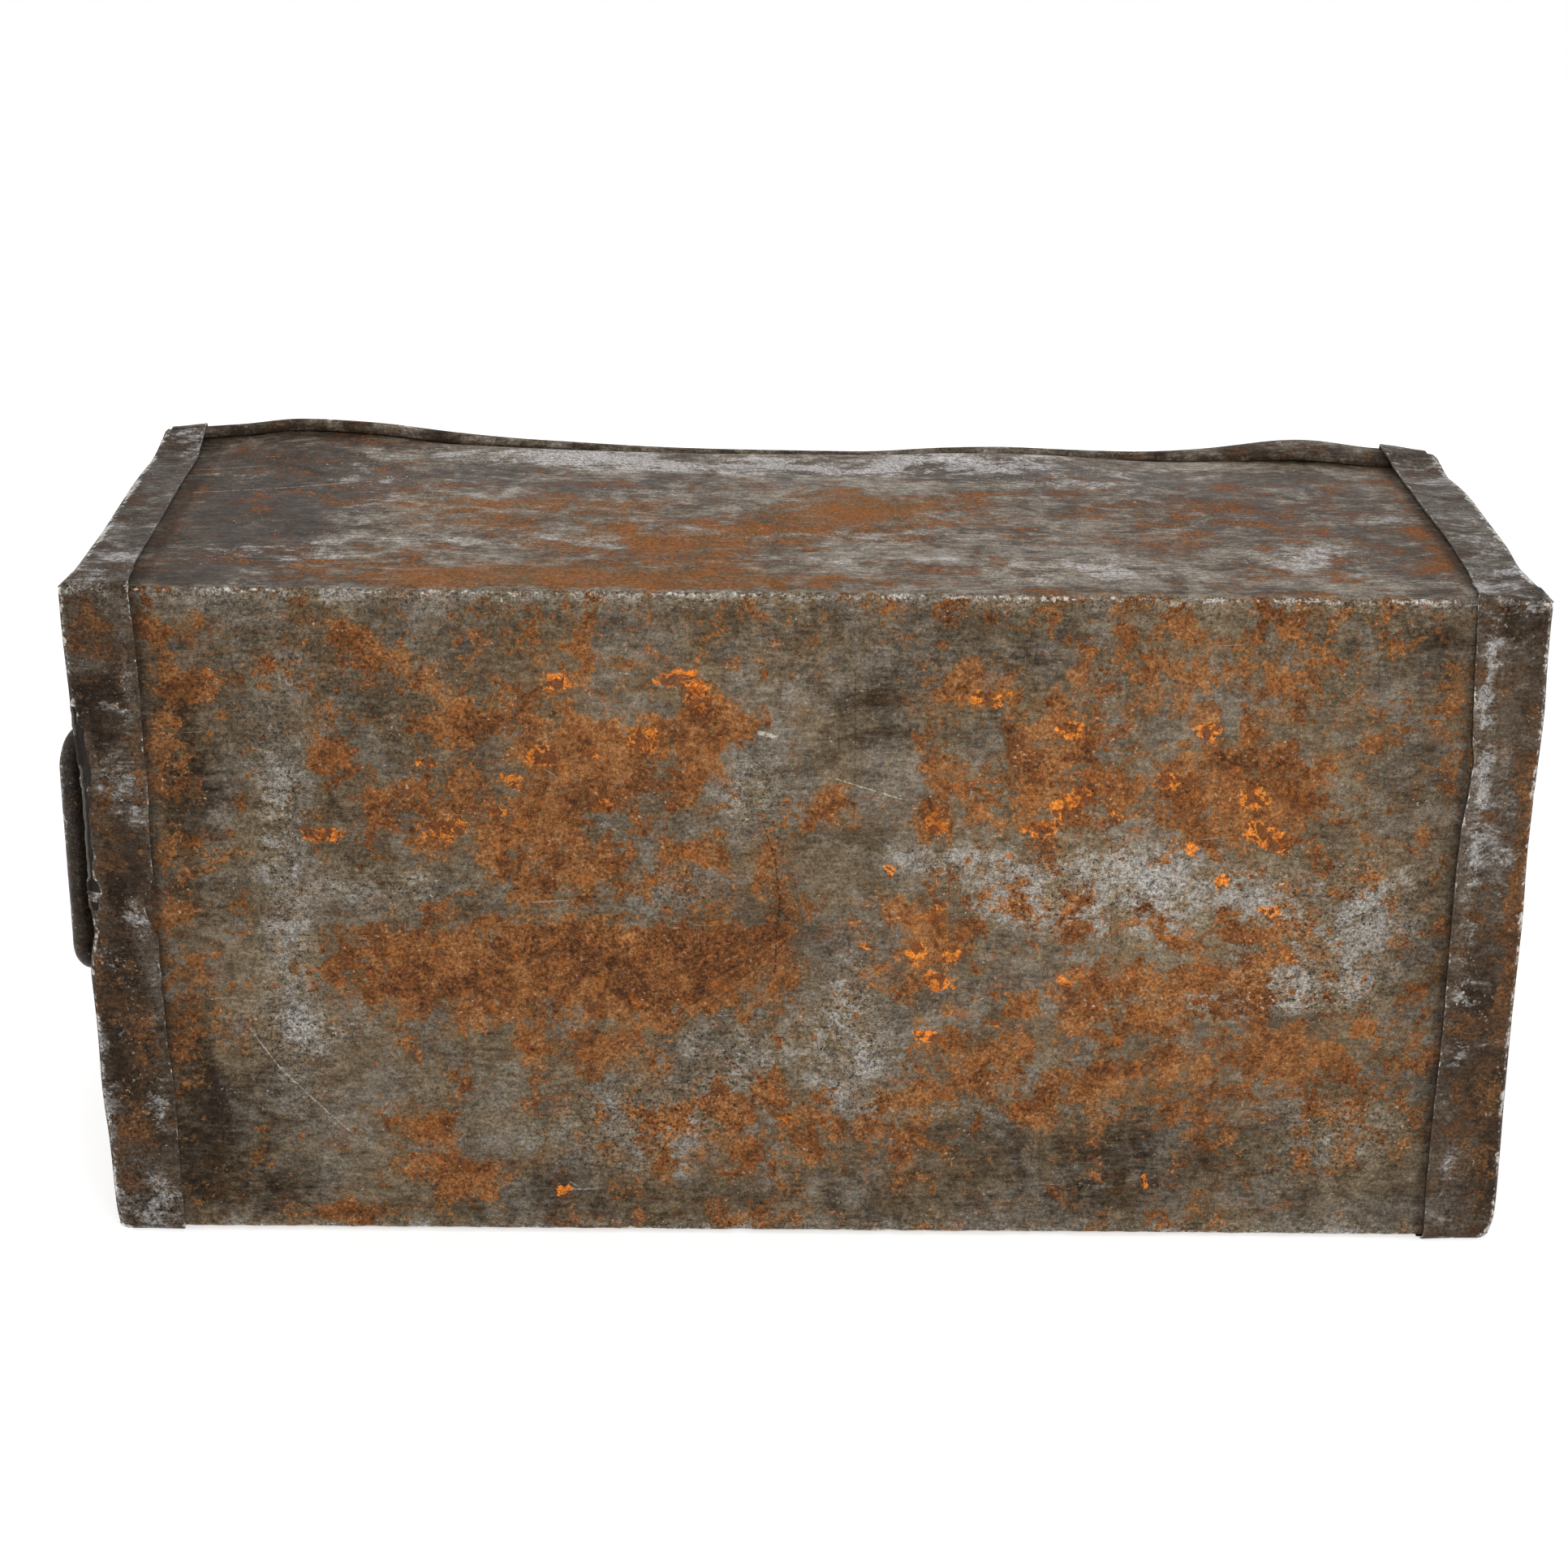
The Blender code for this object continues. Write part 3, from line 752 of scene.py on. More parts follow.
def shapeFlanges(points, side):
    # ragged inner edges, sprung a little off the sheet under them, and small knocks
    x, y, z = points.T
    depth = np.clip((bendX - np.abs(x)) / (bendX - reachX), 0, 1)
    bottomTable, frontTable = ((leftBottomReach, leftFrontReach) if side < 0
                               else (rightBottomReach, rightFrontReach))
    look = endCap
    bottom, front, back = (np.abs(drawn(table, 1, values, blur)) for table, values, blur in zip(
        (bottomTable, frontTable, backReach), (y, z, z), look["edgeBlur"]))
    upright = rise(z, flangeZ, flangeZ + look["uprightOver"])
    edge = bottom * (1 - upright) + np.where(y < 0, front, back) * upright
    uneven, (edgeOver, springOver, faceOver) = look["uneven"], look["unevenOver"]
    edge = edge + uneven * ripple(points, edgeOver, 5 + side)
    moved = points.copy()
    flange = depth > 0
    under, upon = z < flangeZ + mm, np.abs(y) > flangeY - mm
    moved[:, 0] = np.where(flange, side * (bendX - depth * (bendX - edge)), x)
    spring = (look["spring"][side > 0] + uneven * ripple(points, springOver, 9)) * depth ** 2
    wobble = uneven * ripple(points, faceOver, 12)
    moved[:, 2] += np.where(flange & under, wobble - spring, 0)
    moved[:, 1] += np.where(flange & upon, np.sign(y) * spring, 0)
    onSide = rise(np.abs(y), flangeY - look["sideOver"], flangeY)
    start, rest = look["wrap"]
    wrap = rise(z, start, hookZ - rest) * onSide * (z < rollZ)
    moved[:, 1] += np.sign(y) * np.maximum(rollY + look["hookRadius"] - np.abs(y), 0) * wrap
    if side < 0:
        openSeam(points, moved)
    high, reach = look["cornerSwell"]
    moved[:, 1] += np.sign(y) * high * np.exp(-((z - bendZ) / reach) ** 2) * onSide
    return knock(moved, side)


def openSeam(points, moved):
    # part the two lips of the left bend
    x, y, z = points.T
    look, reach = seamLips, np.abs(x)
    share, gain, size = look["uneven"]
    apart = drawn(seamOpening, 1, y, look["blur"]) * (share + gain * ripple(points, size, 41))
    apart = np.where((z < bendZ + look["above"]) & (np.abs(y) < look["within"]), apart, 0)
    height = (bendZ - moved[:, 2]) - (reach - bendX)
    lower = (height > 0) * rise(reach, bendX - look["lower"], bendX)
    start, end = look["upper"]
    upper = (height <= 0) * rise(reach, bendX, bendX + mm) * (1 - rise(z, bendZ + start, bendZ + end))
    moved[:, 0] += apart * (look["back"] * lower - look["out"] * upper)
    moved[:, 2] -= look["down"] * apart * lower


def knock(points, side):
    x, y, z = points.T
    moved = points.copy()
    for at, dx, dy, dz, radius, sink in flangeDents:
        if at == side:
            away = points - np.array([side * dx, dy, dz]) * mm
            fall = np.exp(-(away ** 2).sum(axis=1) / (radius * mm) ** 2) * sink * mm
            moved[:, 1] -= np.sign(y) * fall * (np.abs(y) > flangeY - endCap["dentsWithin"])
            moved[:, 2] += fall * (z < flangeZ + endCap["dentsWithin"])
    return moved


def makeCornerTab(side, hand):
    # the bottom flange's end, folded up over the side flange, with an arc for its edge
    look = cornerTab
    piece = addPrimitive("plane", "tab", (0, 0, 0), (1, 1, 1), size=1)
    openForEdit(piece)
    for axis, cuts in enumerate(look["cuts"]):
        cutEdges(axis, 0, cuts)
    bpy.ops.object.mode_set(mode="OBJECT")
    points = readPoints(piece)
    across, up = points[:, 0] + 0.5, points[:, 1] + 0.5      # 0 at the inner edge, 1 at the panel
    inner = abs(drawn(leftFrontReach if side < 0 else rightFrontReach, 1, np.array([look["edgeAt"]]))[0])
    top = look["height"] * np.sqrt(np.clip(1 - (look["arc"] * across) ** 4, 0, 1)) + look["lift"]
    out = flangeY + look["proud"]
    radius = endCap["bend"] + look["proud"]
    turn = np.clip(across - look["flat"], 0, 1) / (1 - look["flat"]) * math.radians(look["wrap"])
    place = np.empty_like(points)
    flat = np.minimum(across, look["flat"]) / look["flat"]
    place[:, 0] = side * (inner + look["start"][0] + flat * (bendX - inner) + radius * np.sin(turn))
    place[:, 1] = hand * (out - radius * (1 - np.cos(turn)))
    place[:, 2] = bendZ + look["start"][1] + up * (top - bendZ)
    writePoints(piece, place)
    openForEdit(piece)
    closeEdit()
    keepStraightPlace(piece)
    writePoints(piece, bendBox(knock(shapeTab(place), side)))
    applyModifier(piece, "SOLIDIFY", thickness=look["gauge"], offset=0)
    markShells(piece)
    return piece


def shapeTab(points):
    moved = points.copy()
    height, size = cornerTab["uneven"]
    moved[:, 1] += np.sign(points[:, 1]) * height * ripple(points, size, 31)
    height, size = cornerTab["rimUneven"]
    moved[:, 2] += height * ripple(points, size, 33) * (points[:, 2] > cornerTab["rimFrom"])
    return moved


def makeEndCap(node, side):
    look = endCap
    span = (panelX - reachX, 2 * flangeY, hookZ - flangeZ)
    centre = (side * (panelX + reachX) / 2, 0, (flangeZ + hookZ) / 2)
    piece = addPrimitive("cube", "worn_" + node, centre, span, size=1)
    openForEdit(piece)
    choose("FACE", lambda face: face.normal.x * side < -0.9 or face.normal.z > 0.9)
    bpy.ops.mesh.delete(type="FACE")
    choose("EDGE", lambda edge: not edge.is_boundary)
    bevel(look["bend"], look["bendSteps"])
    for hand in (-1, 1):
        choose("EDGE", lambda edge: edge.is_boundary and runs(edge, 0, mm)
               and middle(edge).y * hand > flangeY - 0.1 * mm and middle(edge).z > hookZ - mm)
        spin(look["hookSteps"], look["hookTurn"], (0, hand * rollY, rollZ), (-hand, 0, 0))
    choose("EDGE", lambda edge: edge.is_boundary and runs(edge, 1, 20 * mm)
           and abs(middle(edge).x) > panelX - 0.1 * mm and middle(edge).z > hookZ - mm)
    extrude((0, 0, curlZ - hookZ))
    spin(look["rollSteps"], look["rollTurn"], (side * (panelX + look["rollRadius"]), 0, curlZ), (0, -side, 0))
    for axis, key in ((0, "flangeCuts"), (1, "panelCuts"), (2, "heightCuts")):
        cutEdges(axis, longEdge, *look[key])
    if choose("FACE", lambda face: isTorn(face, side)):
        bpy.ops.mesh.delete(type="FACE")
    closeEdit()
    keepStraightPlace(piece)
    writePoints(piece, bendBox(shapeFlanges(readPoints(piece), side)))
    applyModifier(piece, "SOLIDIFY", thickness=look["gauge"], offset=0, use_quality_normals=True)
    markShells(piece)
    tabs = [makeCornerTab(side, hand) for hand in (-1, 1)]
    makeActive(piece)
    for tab in tabs:
        tab.select_set(True)
    bpy.ops.object.join()
    smoothShade(piece)
    print(node, "made:", len(piece.data.polygons), "faces")
    return piece


# Bails

bail = {
    "radius": 6 * mm,
    "sides": 28,
    "footStart": 30 * mm,
    "armOut": 60.5 * mm,
    "footBend": 10 * mm,
    "gripBend": 13 * mm,
    "drop": 55 * mm,
    "openLeft": 14,                 # degrees out from hanging flat
    "footSteps": 9,
    "gripSteps": 11,
    "footEdge": 1.1 * mm,
    "cuts": ((1, 60 * mm, 44), (1, 12 * mm, 9), (2, 12 * mm, 15)),      # along, longer than, number
    "pit": 0.16 * mm,
    "pitSize": 5 * mm,
}


def walk(steps):
    # carry the selected edge or loop on: ("go", move) or ("turn", steps, degrees, centre, axis)
    for step in steps:
        if step[0] == "go":
            extrude(step[1])
        else:
            spin(*step[1:])


def makeBail(node, body, degrees):
    look = bail
    x, _, z = pivots[body]
    start, foot = look["footStart"], look["armOut"] - look["footBend"]
    gripY, gripZ = look["armOut"] - look["gripBend"], z - look["drop"] + look["gripBend"]
    down = look["drop"] - look["footBend"] - look["gripBend"]
    piece = addPrimitive("circle", "worn_" + node, (x, -start, z), (1, 1, 1), vertices=look["sides"],
                         radius=look["radius"], rotation=(math.radians(90), 0, 0), fill_type="NGON")
    openForEdit(piece)
    bpy.ops.mesh.select_all(action="SELECT")
    walk((
        ("go", (0, start - foot, 0)),
        ("turn", look["footSteps"], 90, (x, -foot, z - look["footBend"]), (-1, 0, 0)),
        ("go", (0, 0, -down)),
        ("turn", look["gripSteps"], 90, (x, -gripY, gripZ), (-1, 0, 0)),
        ("go", (0, 2 * gripY, 0)),
        ("turn", look["gripSteps"], 90, (x, gripY, gripZ), (-1, 0, 0)),
        ("go", (0, 0, down)),
        ("turn", look["footSteps"], 90, (x, foot, z - look["footBend"]), (-1, 0, 0)),
        ("go", (0, start - foot, 0)),
    ))
    choose("EDGE", lambda edge: abs(abs(middle(edge).y) - start) < 0.05 * mm and middle(edge).z > z - 8 * mm)
    bevel(look["footEdge"], 3)
    for axis, least, cuts in look["cuts"]:
        cutEdges(axis, least, cuts)
    closeEdit()
    swing = Matrix.Translation(pivots[body]) @ Matrix.Rotation(math.radians(degrees), 4, "Y")
    piece.data.transform(swing @ Matrix.Translation(-pivots[body]))
    keepStraightPlace(piece)
    roughen(piece, look["pit"], look["pitSize"])
    smoothShade(piece, 50)
    print(node, "made:", len(piece.data.polygons), "faces")
    return piece


def roughen(piece, depth, size):
    # pits and slow unevenness, pushed in along the normals
    points = readPoints(piece)
    pits = np.minimum(ripple(points, size, 21), 0.1) * depth + ripple(points, 5 * size, 22) * depth
    writePoints(piece, points + readNormals(piece) * pits[:, None])


# Straps, rivets and backing plates

strap = {"gauge": 2 * mm, "saddle": 7.5 * mm, "corner": 1.6 * mm, "round": 2.5 * mm, "edge": 0.35 * mm,
         "uneven": 0.15 * mm, "unevenOver": 9 * mm, "bendSteps": 3, "saddleSteps": 16}
rivet = {"radius": 4.5 * mm, "height": 2.5 * mm, "shank": 2 * mm, "tailHeight": 1.6 * mm,
         "segments": 24, "rings": 16, "pit": 0.12 * mm, "pitSize": 2.5 * mm,
         "tailSteps": ((-0.02 * mm, 1.9), (-0.8 * mm, 0.86), (-0.78 * mm, 0.5))}      # move, swell
plate = {"corner": 6 * mm, "edge": 0.3 * mm}


def makeStrap(node, side):
    look = strap
    low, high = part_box(node)
    x, _, z = pivots["left_handle" if side < 0 else "right_handle"]
    seat = min(abs(low.x), abs(high.x)) + look["gauge"] / 2
    legZ = look["saddle"] + look["corner"]
    lug = high.z - z - legZ
    leg = abs(x) - seat - look["corner"]
    piece = addPrimitive("plane", "worn_" + node, (side * seat, (low.y + high.y) / 2, high.z - lug / 2),
                         (lug, high.y - low.y, 1), size=1, rotation=(0, math.radians(90), 0))
    openForEdit(piece)
    choose("EDGE", lambda edge: runs(edge, 1) and middle(edge).z < high.z - mm)
    turnX = side * (seat + look["corner"])
    walk((
        ("turn", look["bendSteps"], 90, (turnX, 0, z + legZ), (0, side, 0)),
        ("go", (side * leg, 0, 0)),
        ("turn", look["saddleSteps"], 180, (x, 0, z), (0, -side, 0)),
        ("go", (-side * leg, 0, 0)),
        ("turn", look["bendSteps"], 90, (turnX, 0, z - legZ), (0, side, 0)),
        ("go", (0, 0, -lug)),
    ))
    choose("VERT", lambda point: abs(abs(point.co.z - z) - legZ - lug) < 0.1 * mm)
    bevel(look["round"], 5, "VERTICES")
    closeEdit()
    points = readPoints(piece)
    points[:, 0] += side * look["uneven"] * ripple(points, look["unevenOver"], 41)
    writePoints(piece, points)
    applyModifier(piece, "SOLIDIFY", thickness=look["gauge"], offset=0)
    applyModifier(piece, "BEVEL", width=look["edge"], segments=2, limit_method="ANGLE")
    keepStraightPlace(piece)
    smoothShade(piece)
    return piece


def makeRivet():
    # on the X axis, with its head seated at 0 and its tail inwards
    look = rivet
    low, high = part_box("right_front_upper_rivet")
    grip = high.x - look["height"] - (low.x + look["tailHeight"])
    piece = addPrimitive("uv_sphere", "rivet", (0, 0, 0), (look["height"], look["radius"], look["radius"]),
                         segments=look["segments"], ring_count=look["rings"], radius=1)
    openForEdit(piece)
    bpy.ops.mesh.select_all(action="SELECT")
    bpy.ops.mesh.bisect(plane_co=(0, 0, 0), plane_no=(1, 0, 0), use_fill=True, clear_inner=True)
    choose("FACE", lambda face: face.normal.x < -0.95 and abs(face.calc_center_median().x) < 0.01 * mm)
    bpy.ops.mesh.inset(thickness=look["radius"] - look["shank"])
    extrude((-grip, 0, 0))
    for step, swell in look["tailSteps"]:
        extrude((step, 0, 0))
        ends = [point.co.x for point in bmesh.from_edit_mesh(piece.data).verts if point.select]
        bpy.ops.transform.resize(value=(1, swell, swell), center_override=(sum(ends) / len(ends), 0, 0))
    closeEdit()
    return piece


def setRivet(source, node, side, turn):
    low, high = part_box(node)
    piece = source.copy()
    piece.data = source.data.copy()
    piece.name = piece.data.name = "worn_" + node
    bpy.context.scene.collection.objects.link(piece)
    seat = max(abs(low.x), abs(high.x)) - rivet["height"]
    spot = Matrix.Translation((side * seat, (low.y + high.y) / 2, (low.z + high.z) / 2))
    facing = Matrix.Rotation(0 if side > 0 else math.pi, 4, "Z")
    piece.data.transform(spot @ facing @ Matrix.Rotation(math.radians(turn), 4, "X"))
    keepStraightPlace(piece)
    roughen(piece, rivet["pit"], rivet["pitSize"])
    smoothShade(piece, 50)
    return piece


def makePlate(node, side):
    look = plate
    low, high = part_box(node)
    piece = addPrimitive("cube", "worn_" + node, (low + high) / 2, high - low, size=1)
    openForEdit(piece)
    choose("EDGE", lambda edge: runs(edge, 0))
    bevel(look["corner"], 6)
    closeEdit()
    applyModifier(piece, "BEVEL", width=look["edge"], segments=2, limit_method="ANGLE")
    keepStraightPlace(piece)
    smoothShade(piece)
    return piece


# Where rust, dirt, wear and smudges sit, and where light and shade are painted. Each spot is two coordinates and
# two radii in mm, then its strength

bottomRust = (
    (-130, 24, 104, 27, 0.62), (-45, 22, 24, 26, 0.35), (-125, -40, 30, 30, 0.42), (-85, -85, 46, 26, 0.42),
    (-180, -60, 34, 22, 0.34), (-65, -30, 34, 24, 0.3), (-40, -110, 22, 16, 0.4), (-12, -5, 12, 58, 0.34),
    (66, -70, 18, 22, 0.4), (124, -80, 30, 34, 0.4), (205, -72, 50, 32, 0.42), (52, 14, 30, 34, 0.24),
    (200, 20, 52, 32, 0.2), (150, 40, 56, 14, 0.28), (120, -10, 50, 22, 0.14), (100, 74, 54, 24, 0.3),
    (205, 78, 54, 28, 0.33), (280, 70, 34, 26, 0.28), (-100, 70, 46, 22, 0.24), (-190, 112, 20, 10, 0.46),
    (-166, 137, 17, 14, 0.46), (-30, 98, 40, 18, 0.34), (-18, 127, 22, 12, 0.3), (40, 100, 40, 14, 0.24),
    (-228, 160, 30, 7, 0.42), (-228, -84, 16, 12, 0.4), (-200, -120, 60, 30, 0.1),
    (-130, -140, 80, 30, 0.18), (205, -140, 105, 32, 0.15), (66, -122, 36, 8, 0.3), (12, -62, 15, 12, 0.55),
    (-288, -124, 20, 12, 0.3), (312, 10, 10, 170, 0.12), (-308, -20, 13, 150, 0.26),
    (-165, -106, 20, 8, 0.3), (-255, 0, 16, 160, -0.22), (-75, 130, 70, 24, 0.06), (-75, -128, 76, 20, -0.1),
    (-100, -70, 50, 22, 0.07), (20, 60, 34, 44, -0.1), (250, 130, 60, 40, -0.1), (25, -108, 26, 34, -0.35),
    (150, -28, 52, 20, -0.1), (-290, 120, 22, 50, -0.15), (20, -35, 26, 16, -0.3), (-75, 110, 16, 12, 0.32),
    (30, 118, 26, 14, 0.28), (150, 100, 60, 16, 0.14), (230, 130, 44, 22, 0.24), (-250, -140, 40, 18, 0.16),
    (-285, 40, 14, 40, 0.12), (-30, 162, 40, 7, 0.25), (60, -162, 40, 8, 0.15),
)
frontRust = (
    (-110, 22, 95, 24, 0.55), (0, 20, 60, 16, 0.2), (-60, 82, 60, 26, 0.46), (20, 128, 46, 44, 0.46),
    (-120, 128, 46, 30, 0.26), (-185, 132, 34, 40, 0.2), (75, 140, 30, 30, 0.22), (-250, 40, 40, 26, 0.14),
    # the negative spot at (-30, 224) clears rust under the painted sheen band
    (170, 116, 46, 46, 0.12), (-30, 224, 170, 24, -0.45), (-290, 60, 40, 50, -0.1), (180, 52, 50, 30, -0.1),
    (250, 90, 70, 70, 0.03), (230, 30, 60, 16, 0.1), (312, 120, 8, 140, 0.22), (-316, 120, 6, 140, 0.2),
)
bottomFresh = (
    (-127, -88, 9, 6), (-104, -90, 6, 4), (-77, -97, 9, 7), (-70, -126, 5, 4), (-140, -76, 5, 5),
    (64, -54, 7, 6), (112, -52, 8, 5), (124, -63, 8, 8), (133, -70, 5, 5), (172, -78, 9, 6),
    (214, -70, 9, 7), (217, -52, 8, 6), (227, -47, 8, 6), (56, 13, 6, 6), (66, 30, 8, 6), (72, 14, 5, 6),
    (202, -26, 4, 5), (226, -11, 6, 5), (66, -12, 6, 4), (-8, 106, 6, 3), (174, 141, 4, 5), (60, 58, 7, 4),
    (-52, -118, 8, 6), (-118, -126, 7, 5), (-182, -84, 6, 3), (126, -104, 9, 5), (192, -104, 8, 6),
    (84, -120, 12, 4), (150, -60, 4, 4), (98, -38, 5, 3), (186, -44, 4, 5), (240, 14, 4, 4), (176, -8, 4, 3),
    (128, 30, 5, 4), (96, 52, 4, 3), (42, -30, 4, 4), (30, 10, 4, 3), (-150, -60, 5, 4), (-96, -64, 4, 3),
    (-232, -46, 14, 4), (-175, -50, 14, 6), (-60, -128, 8, 6), (-120, 148, 4, 4),
)
bottomPale = (           # bare grey metal, some of it light
    (-252, -10, 14, 120, 0.5), (-75, 112, 46, 30, 0.45), (-30, 70, 36, 26, 0.4), (24, 62, 20, 46, 0.7),
    (140, -22, 66, 26, 0.7), (260, -10, 50, 30, 0.55), (250, 30, 40, 14, 0.6), (-25, -70, 16, 20, 0.5),
    (-205, -20, 34, 14, 0.45), (-250, 60, 40, 14, 0.35), (-70, 8, 60, 6, 0.25), (270, 110, 36, 24, 0.4),
    (-60, -20, 20, 10, 0.4), (60, -36, 30, 8, 0.45), (200, 40, 60, 8, 0.3), (90, 100, 90, 6, 0.3),
)
frontPale = (
    # bare grey patches; the first three spots, a long light band near the top, are a painted sheen
    (-110, 232, 90, 22, 1), (70, 230, 80, 24, 1), (-20, 212, 150, 14, 0.6), (-260, 56, 50, 22, 0.5),
    (-220, 160, 40, 34, 0.35), (-230, 210, 30, 18, 0.3), (150, 190, 40, 12, 0.7), (240, 70, 34, 26, 0.55),
    (130, 40, 46, 22, 0.5), (30, 92, 90, 7, 0.45), (-160, 80, 60, 12, 0.4), (200, 120, 24, 40, 0.35),
    (-70, 150, 22, 30, 0.25), (96, 170, 20, 26, 0.3), (-290, 190, 30, 12, 0.3), (20, 48, 80, 10, 0.35),
)
bottomSmudgeAndShade = (
    # dark smudges, and painted shade: darker at the left end and in dimples at (30, -108) and (158, 128)
    (-285, 115, 34, 60, 0.5), (-285, -80, 30, 80, 0.45), (30, -108, 26, 34, 0.4), (24, -42, 26, 10, 0.36),
    (-120, 152, 220, 18, 0.38), (180, 130, 150, 34, 0.34), (158, 128, 14, 20, 0.35),
    (-230, -60, 30, 34, 0.35), (300, -60, 24, 110, 0.35), (-300, 0, 14, 150, 0.4), (90, -140, 60, 22, 0.3),
    (-195, 60, 40, 8, 0.3), (-180, -150, 60, 14, 0.25), (270, -150, 50, 20, 0.45), (-60, -152, 60, 14, 0.2),
)
frontSmudgeAndShade = (
    # dark smudges on the front wall, and painted shade darkening its left end
    (-270, 140, 46, 110, 0.65), (-200, 190, 80, 26, 0.3), (160, 210, 160, 20, 0.4), (220, 150, 90, 60, 0.3),
    (40, 106, 70, 10, 0.25), (-300, 20, 30, 24, 0.6), (-110, 172, 60, 16, 0.25), (290, 60, 30, 70, 0.3),
)
leftCapSpots = {         # the left cap's bottom flange: x, y
    # painted shade: a lift under the middle darkens this flange
    "lift": 0.45,
    "rust": (
        (-335, -150, 14, 18, 0.3), (-340, -60, 9, 30, 0.2), (-330, 60, 12, 40, 0.28),
        (-335, 112, 12, 14, 0.34), (-346, 10, 5, 40, 0.25), (-340, 140, 10, 14, 0.15),
        (-318, -60, 4, 60, 0.2),
    ),
    "pale": (
        (-332, -168, 18, 5, 0.6), (-321, -120, 4, 30, 0.5), (-330, -72, 14, 20, 0.5), (-324, 0, 9, 16, 0.9),
        (-336, 18, 12, 10, 0.6), (-330, 152, 20, 20, 0.9), (-322, 100, 7, 18, 0.7), (-320, 60, 4, 30, 0.5),
        (-346, 100, 4, 50, 0.5),
    ),
    "smudgeAndShade": (
        (-335, -110, 14, 20, 0.8), (-330, -30, 14, 26, 0.7), (-335, 50, 14, 40, 0.7),
        (-330, 100, 14, 30, 0.35),
    ),
}
rightCapSpots = {        # the right cap's
    # painted light: a lift over the middle lightens this flange
    "lift": 0.58,
    "rust": (
        (346, -60, 6, 60, 0.35), (330, -130, 12, 12, 0.2), (344, 20, 7, 50, 0.3), (328, -20, 8, 20, 0.2),
        (335, 90, 12, 40, 0.25), (340, 150, 8, 18, 0.2),
    ),
    "pale": (
        (321, -100, 5, 60, 0.6), (325, -150, 8, 16, 0.3), (323, 20, 6, 80, 0.6), (335, -60, 8, 40, 0.35),
        (325, 140, 8, 30, 0.5), (337, -168, 15, 4, 0.9),
    ),
    "smudgeAndShade": (
        (345, 110, 8, 60, 0.6), (330, 60, 14, 50, 0.5), (330, -160, 20, 10, 0.5),
    ),
}
panelSpots = {           # end panels: y, z
    "rust": (
        (-120, 34, 46, 30, 0.42), (112, 66, 38, 44, 0.36), (20, 16, 90, 16, 0.42), (-62, 214, 64, 22, 0.3),
        (6, 150, 70, 26, 0.26), (135, 190, 24, 50, 0.24), (-140, 130, 18, 70, 0.22), (60, 240, 60, 12, 0.2),
    ),
    "pale": (
        (0, 72, 74, 11, 0.42), (-96, 96, 44, 26, 0.26), (84, 168, 46, 22, 0.3), (-40, 246, 110, 10, 0.42),
        (0, 204, 60, 16, 0.22), (150, 20, 14, 40, 0.35), (-155, 220, 12, 40, 0.35),
    ),
    "smudgeAndShade": (
        (0, 122, 84, 26, 0.35), (0, 4, 180, 18, 0.4), (-110, 180, 50, 40, 0.28), (100, 110, 46, 30, 0.25),
    ),
}
bottomDots = (           # where small round rust spots gather
    (-260, -105, 60, 48, 0.95), (-150, -135, 90, 34, 0.75), (-60, -145, 60, 20, 0.6),
    (200, -125, 120, 40, 0.8), (60, -140, 60, 24, 0.6), (285, -20, 40, 80, 0.6), (-245, 10, 36, 60, 0.45),
    (-290, 60, 20, 60, 0.5), (110, -20, 120, 60, 0.45), (40, 90, 120, 50, 0.4), (230, 120, 70, 40, 0.5),
    (-180, 80, 60, 40, 0.4),
)
# painted light and shade: lighter patches over the middle and the right of the bottom, darker at its left end
bottomPaintedLight = (           # lighter than the rest
    (130, -45, 150, 70, 0.13), (-70, -120, 80, 34, 0.14), (180, 40, 90, 50, 0.12),
    (-250, -120, 70, 50, -0.1), (200, -125, 100, 34, 0.06), (-300, 100, 60, 80, -0.04),
    (40, 50, 60, 50, 0.1),
)
foldChips = (            # where the front fold's wear and painted highlight are stronger
    (-68, 0, 20, 1, 0.3), (40, 0, 10, 1, 0.2), (120, 0, 26, 1, 0.4), (64, 0, 8, 1, 0.25),
    (-200, 0, 60, 1, 0.1), (215, 0, 40, 1, 0.2), (290, 0, 24, 1, 0.25),
)


def paint(piece, layers):
    # write each layer from 0 to 1 as an attribute of the points
    for name, values in layers.items():
        kept = piece.data.attributes.get(name) or piece.data.attributes.new(name, "FLOAT", "POINT")
        kept.data.foreach_set("value", np.clip(values, 0, 1).astype(np.float32))


def spots(table, across, along):
    # the spots of a table added up; one without a strength counts as 1
    total = np.zeros(len(across))
    for x, v, reachAcross, reachAlong, *strength in table:
        far = ((across / mm - x) / reachAcross) ** 2 + ((along / mm - v) / reachAlong) ** 2
        total += (strength[0] if strength else 1) * np.exp(-far ** 1.5)
    return total


def near(first, second, spot):
    # 1 at a spot of two coordinates, fading over its reach
    across, along, reach = spot
    return np.exp(-((first - across) ** 2 + (second - along) ** 2) / reach ** 2)


